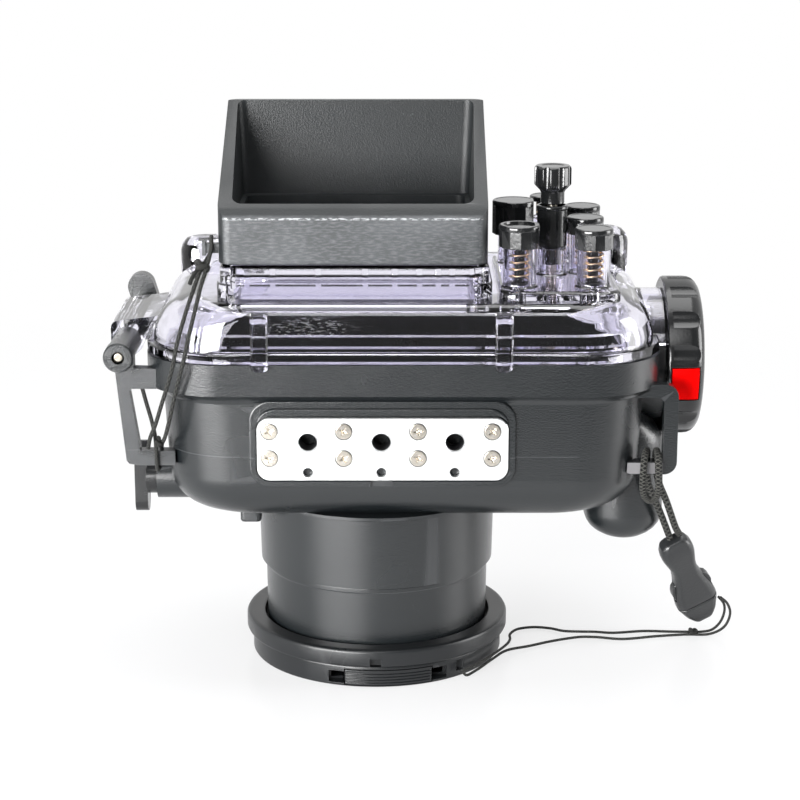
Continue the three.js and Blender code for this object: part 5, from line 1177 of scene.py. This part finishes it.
# Port cap lanyard
# A thin waxed cord that ties the port cap to the buckle: one loop that lies on the table, goes
# through the cap's hole and comes back, with a knot by the buckle.
cap_points = [
    (103.9, 5.2, 12.6), (105.8, 6.3, 10), (106.2, 7.6, 6.6), (105, 7.9, 3.2), (102.6, 7.3, 1.2), (99.4, 6.8, 0.7),
    (95, 7, 0.6), (90, 7.4, 0.5), (81.9, 7.9, 0.5), (72, 5.8, 0.7), (66.4, 4, 1.7), (62, 4.2, 1.7), (57, 7.5, 0.7),
    (53.2, 10.3, 0.5), (48, 11.3, 0.5), (43.3, 9.7, 0.5), (40.6, 4, 1), (40.2, -3, 2), (39.1, -9.4, 3),
    (36.3, -17, 3.8), (31.8, -24.4, 3.7), (27.4, -29.4, 3.2), (25.3, -30.8, 2.6), (26, -31.2, 1.6),
    (29.2, -27.2, 1.5), (34.2, -18.6, 1.6), (39, -10, 1.1), (45.9, -4.9, 0.5), (52, -1.3, 0.5), (56.8, 1, 0.5),
    (62, 2.8, 0.5), (67, 2.6, 0.5), (74.2, 1, 0.5), (85.1, 3.4, 0.5), (94, 4.9, 0.5), (102, 5.1, 0.7),
    (106.2, 5.8, 2.8), (107.8, 6, 6.8), (106.6, 4.8, 10.6), (104.3, 3.7, 13)]
cap_cord_width = 0.8
cap_route = smooth_route(cap_points, 6)
cap_cord = cord_tube(cap_route, cap_cord_width)
cap_cord.name = "cap_thin_cord"
cap_cord.data.materials.append(elastic_black)
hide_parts("cap_lanyard")
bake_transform(cap_cord)
cap_knot = cord_knot(2.6, (96.8, 6, 1.1), 0.3)
seated(cap_knot, "cap_cord_knot", "shell", "cord_fibre", elastic_black)


# Studio
# A white table against a white wall under four soft lamps: left, right, overhead and over the camera.
# The room behind the camera is dim, so clear and glossy parts show white only from wall and table.
def seen_through_white(tree):
    """1 for the rays of the camera and those that gloss or clear plastic sends on, else 0."""
    rays = node(tree, "LightPath").outputs
    either = reckoned(tree, 'MAXIMUM', rays["Is Camera Ray"], rays["Is Glossy Ray"])
    return reckoned(tree, 'MAXIMUM', either, rays["Is Transmission Ray"])


def two_shaders(tree, share, first, second, end):
    both = node(tree, "MixShader", {"Fac": share, 1: first, 2: second}).outputs["Shader"]
    fill(tree, tree.nodes[end].inputs["Surface"], both)


def white_sweep(name, shown):
    """White lacquered board: it keeps the object's shadow, and shows as plain white to the camera."""
    material, tree = new_material(name)
    shade(tree, {"Base Color": (0.86, 0.86, 0.87, 1), "Roughness": 0.22})
    glow = node(tree, "Emission", {"Color": (1, 1, 1, 1)}).outputs["Emission"]
    reach = node(tree, "VectorMath", {0: surface_place(tree)}, operation='LENGTH').outputs["Value"]
    fade = ranged(tree, reach, 0.16, 0.5, shown, 1)
    in_gloss = ranged(tree, node(tree, "LightPath").outputs["Is Glossy Ray"], 0, 1, 1, 0.5)
    share = reckoned(tree, 'MULTIPLY', seen_through_white(tree), reckoned(tree, 'MULTIPLY', fade, in_gloss))
    two_shaders(tree, share, tree.nodes["Principled BSDF"].outputs["BSDF"], glow, "Material Output")
    return material


bpy.ops.object.select_all(action='DESELECT')
bpy.ops.mesh.primitive_plane_add(size=6, location=(0, 2.68, -0.0001))
table = settle(bpy.context.object)
table.name = "table_top"
table.data.materials.append(white_sweep("table_white", 0.7))
table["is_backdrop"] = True

world = bpy.data.worlds.new("white_surround")
bpy.context.scene.world = world
world.use_nodes = True
tree = world.node_tree
dim_room = tree.nodes["Background"]
fill(tree, dim_room.inputs["Color"], (0.9, 0.92, 0.95, 1))
fill(tree, dim_room.inputs["Strength"], 0.32)
behind_camera = ranged(tree, along(tree, surface_place(tree, "Generated"), "Y"), -0.55, 0, 0.2, 1)
white = node(tree, "Background", {"Color": (1, 1, 1, 1), "Strength": behind_camera}).outputs["Background"]
two_shaders(tree, seen_through_white(tree), dim_room.outputs["Background"], white, "World Output")


def soft_lamp(name, place, aim, width, height, watts):
    bpy.ops.object.select_all(action='DESELECT')
    bpy.ops.object.light_add(type='AREA', location=place)
    lamp = bpy.context.object
    lamp.name = name
    lamp.data.shape = 'RECTANGLE'
    lamp.data.size, lamp.data.size_y = width, height
    lamp.data.energy = watts
    lamp.rotation_euler = (Vector(aim) - Vector(place)).to_track_quat('-Z', 'Y').to_euler()


soft_lamp("left_softbox", (-0.44, -0.62, 0.14), (0, 0, 0.06), width=0.62, height=0.27, watts=14)
soft_lamp("over_camera_softbox", (-0.1, -0.8, 0.75), (0, 0, 0.1), width=0.6, height=0.4, watts=3)
soft_lamp("right_softbox", (0.78, -0.02, 0.22), (0, 0, 0.1), width=0.36, height=0.44, watts=4)
soft_lamp("overhead_softbox", (0, 0.15, 1.0), (0, 0, 0.1), width=0.9, height=0.7, watts=7)
bpy.context.scene.view_settings.view_transform = 'Standard'

low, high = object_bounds()
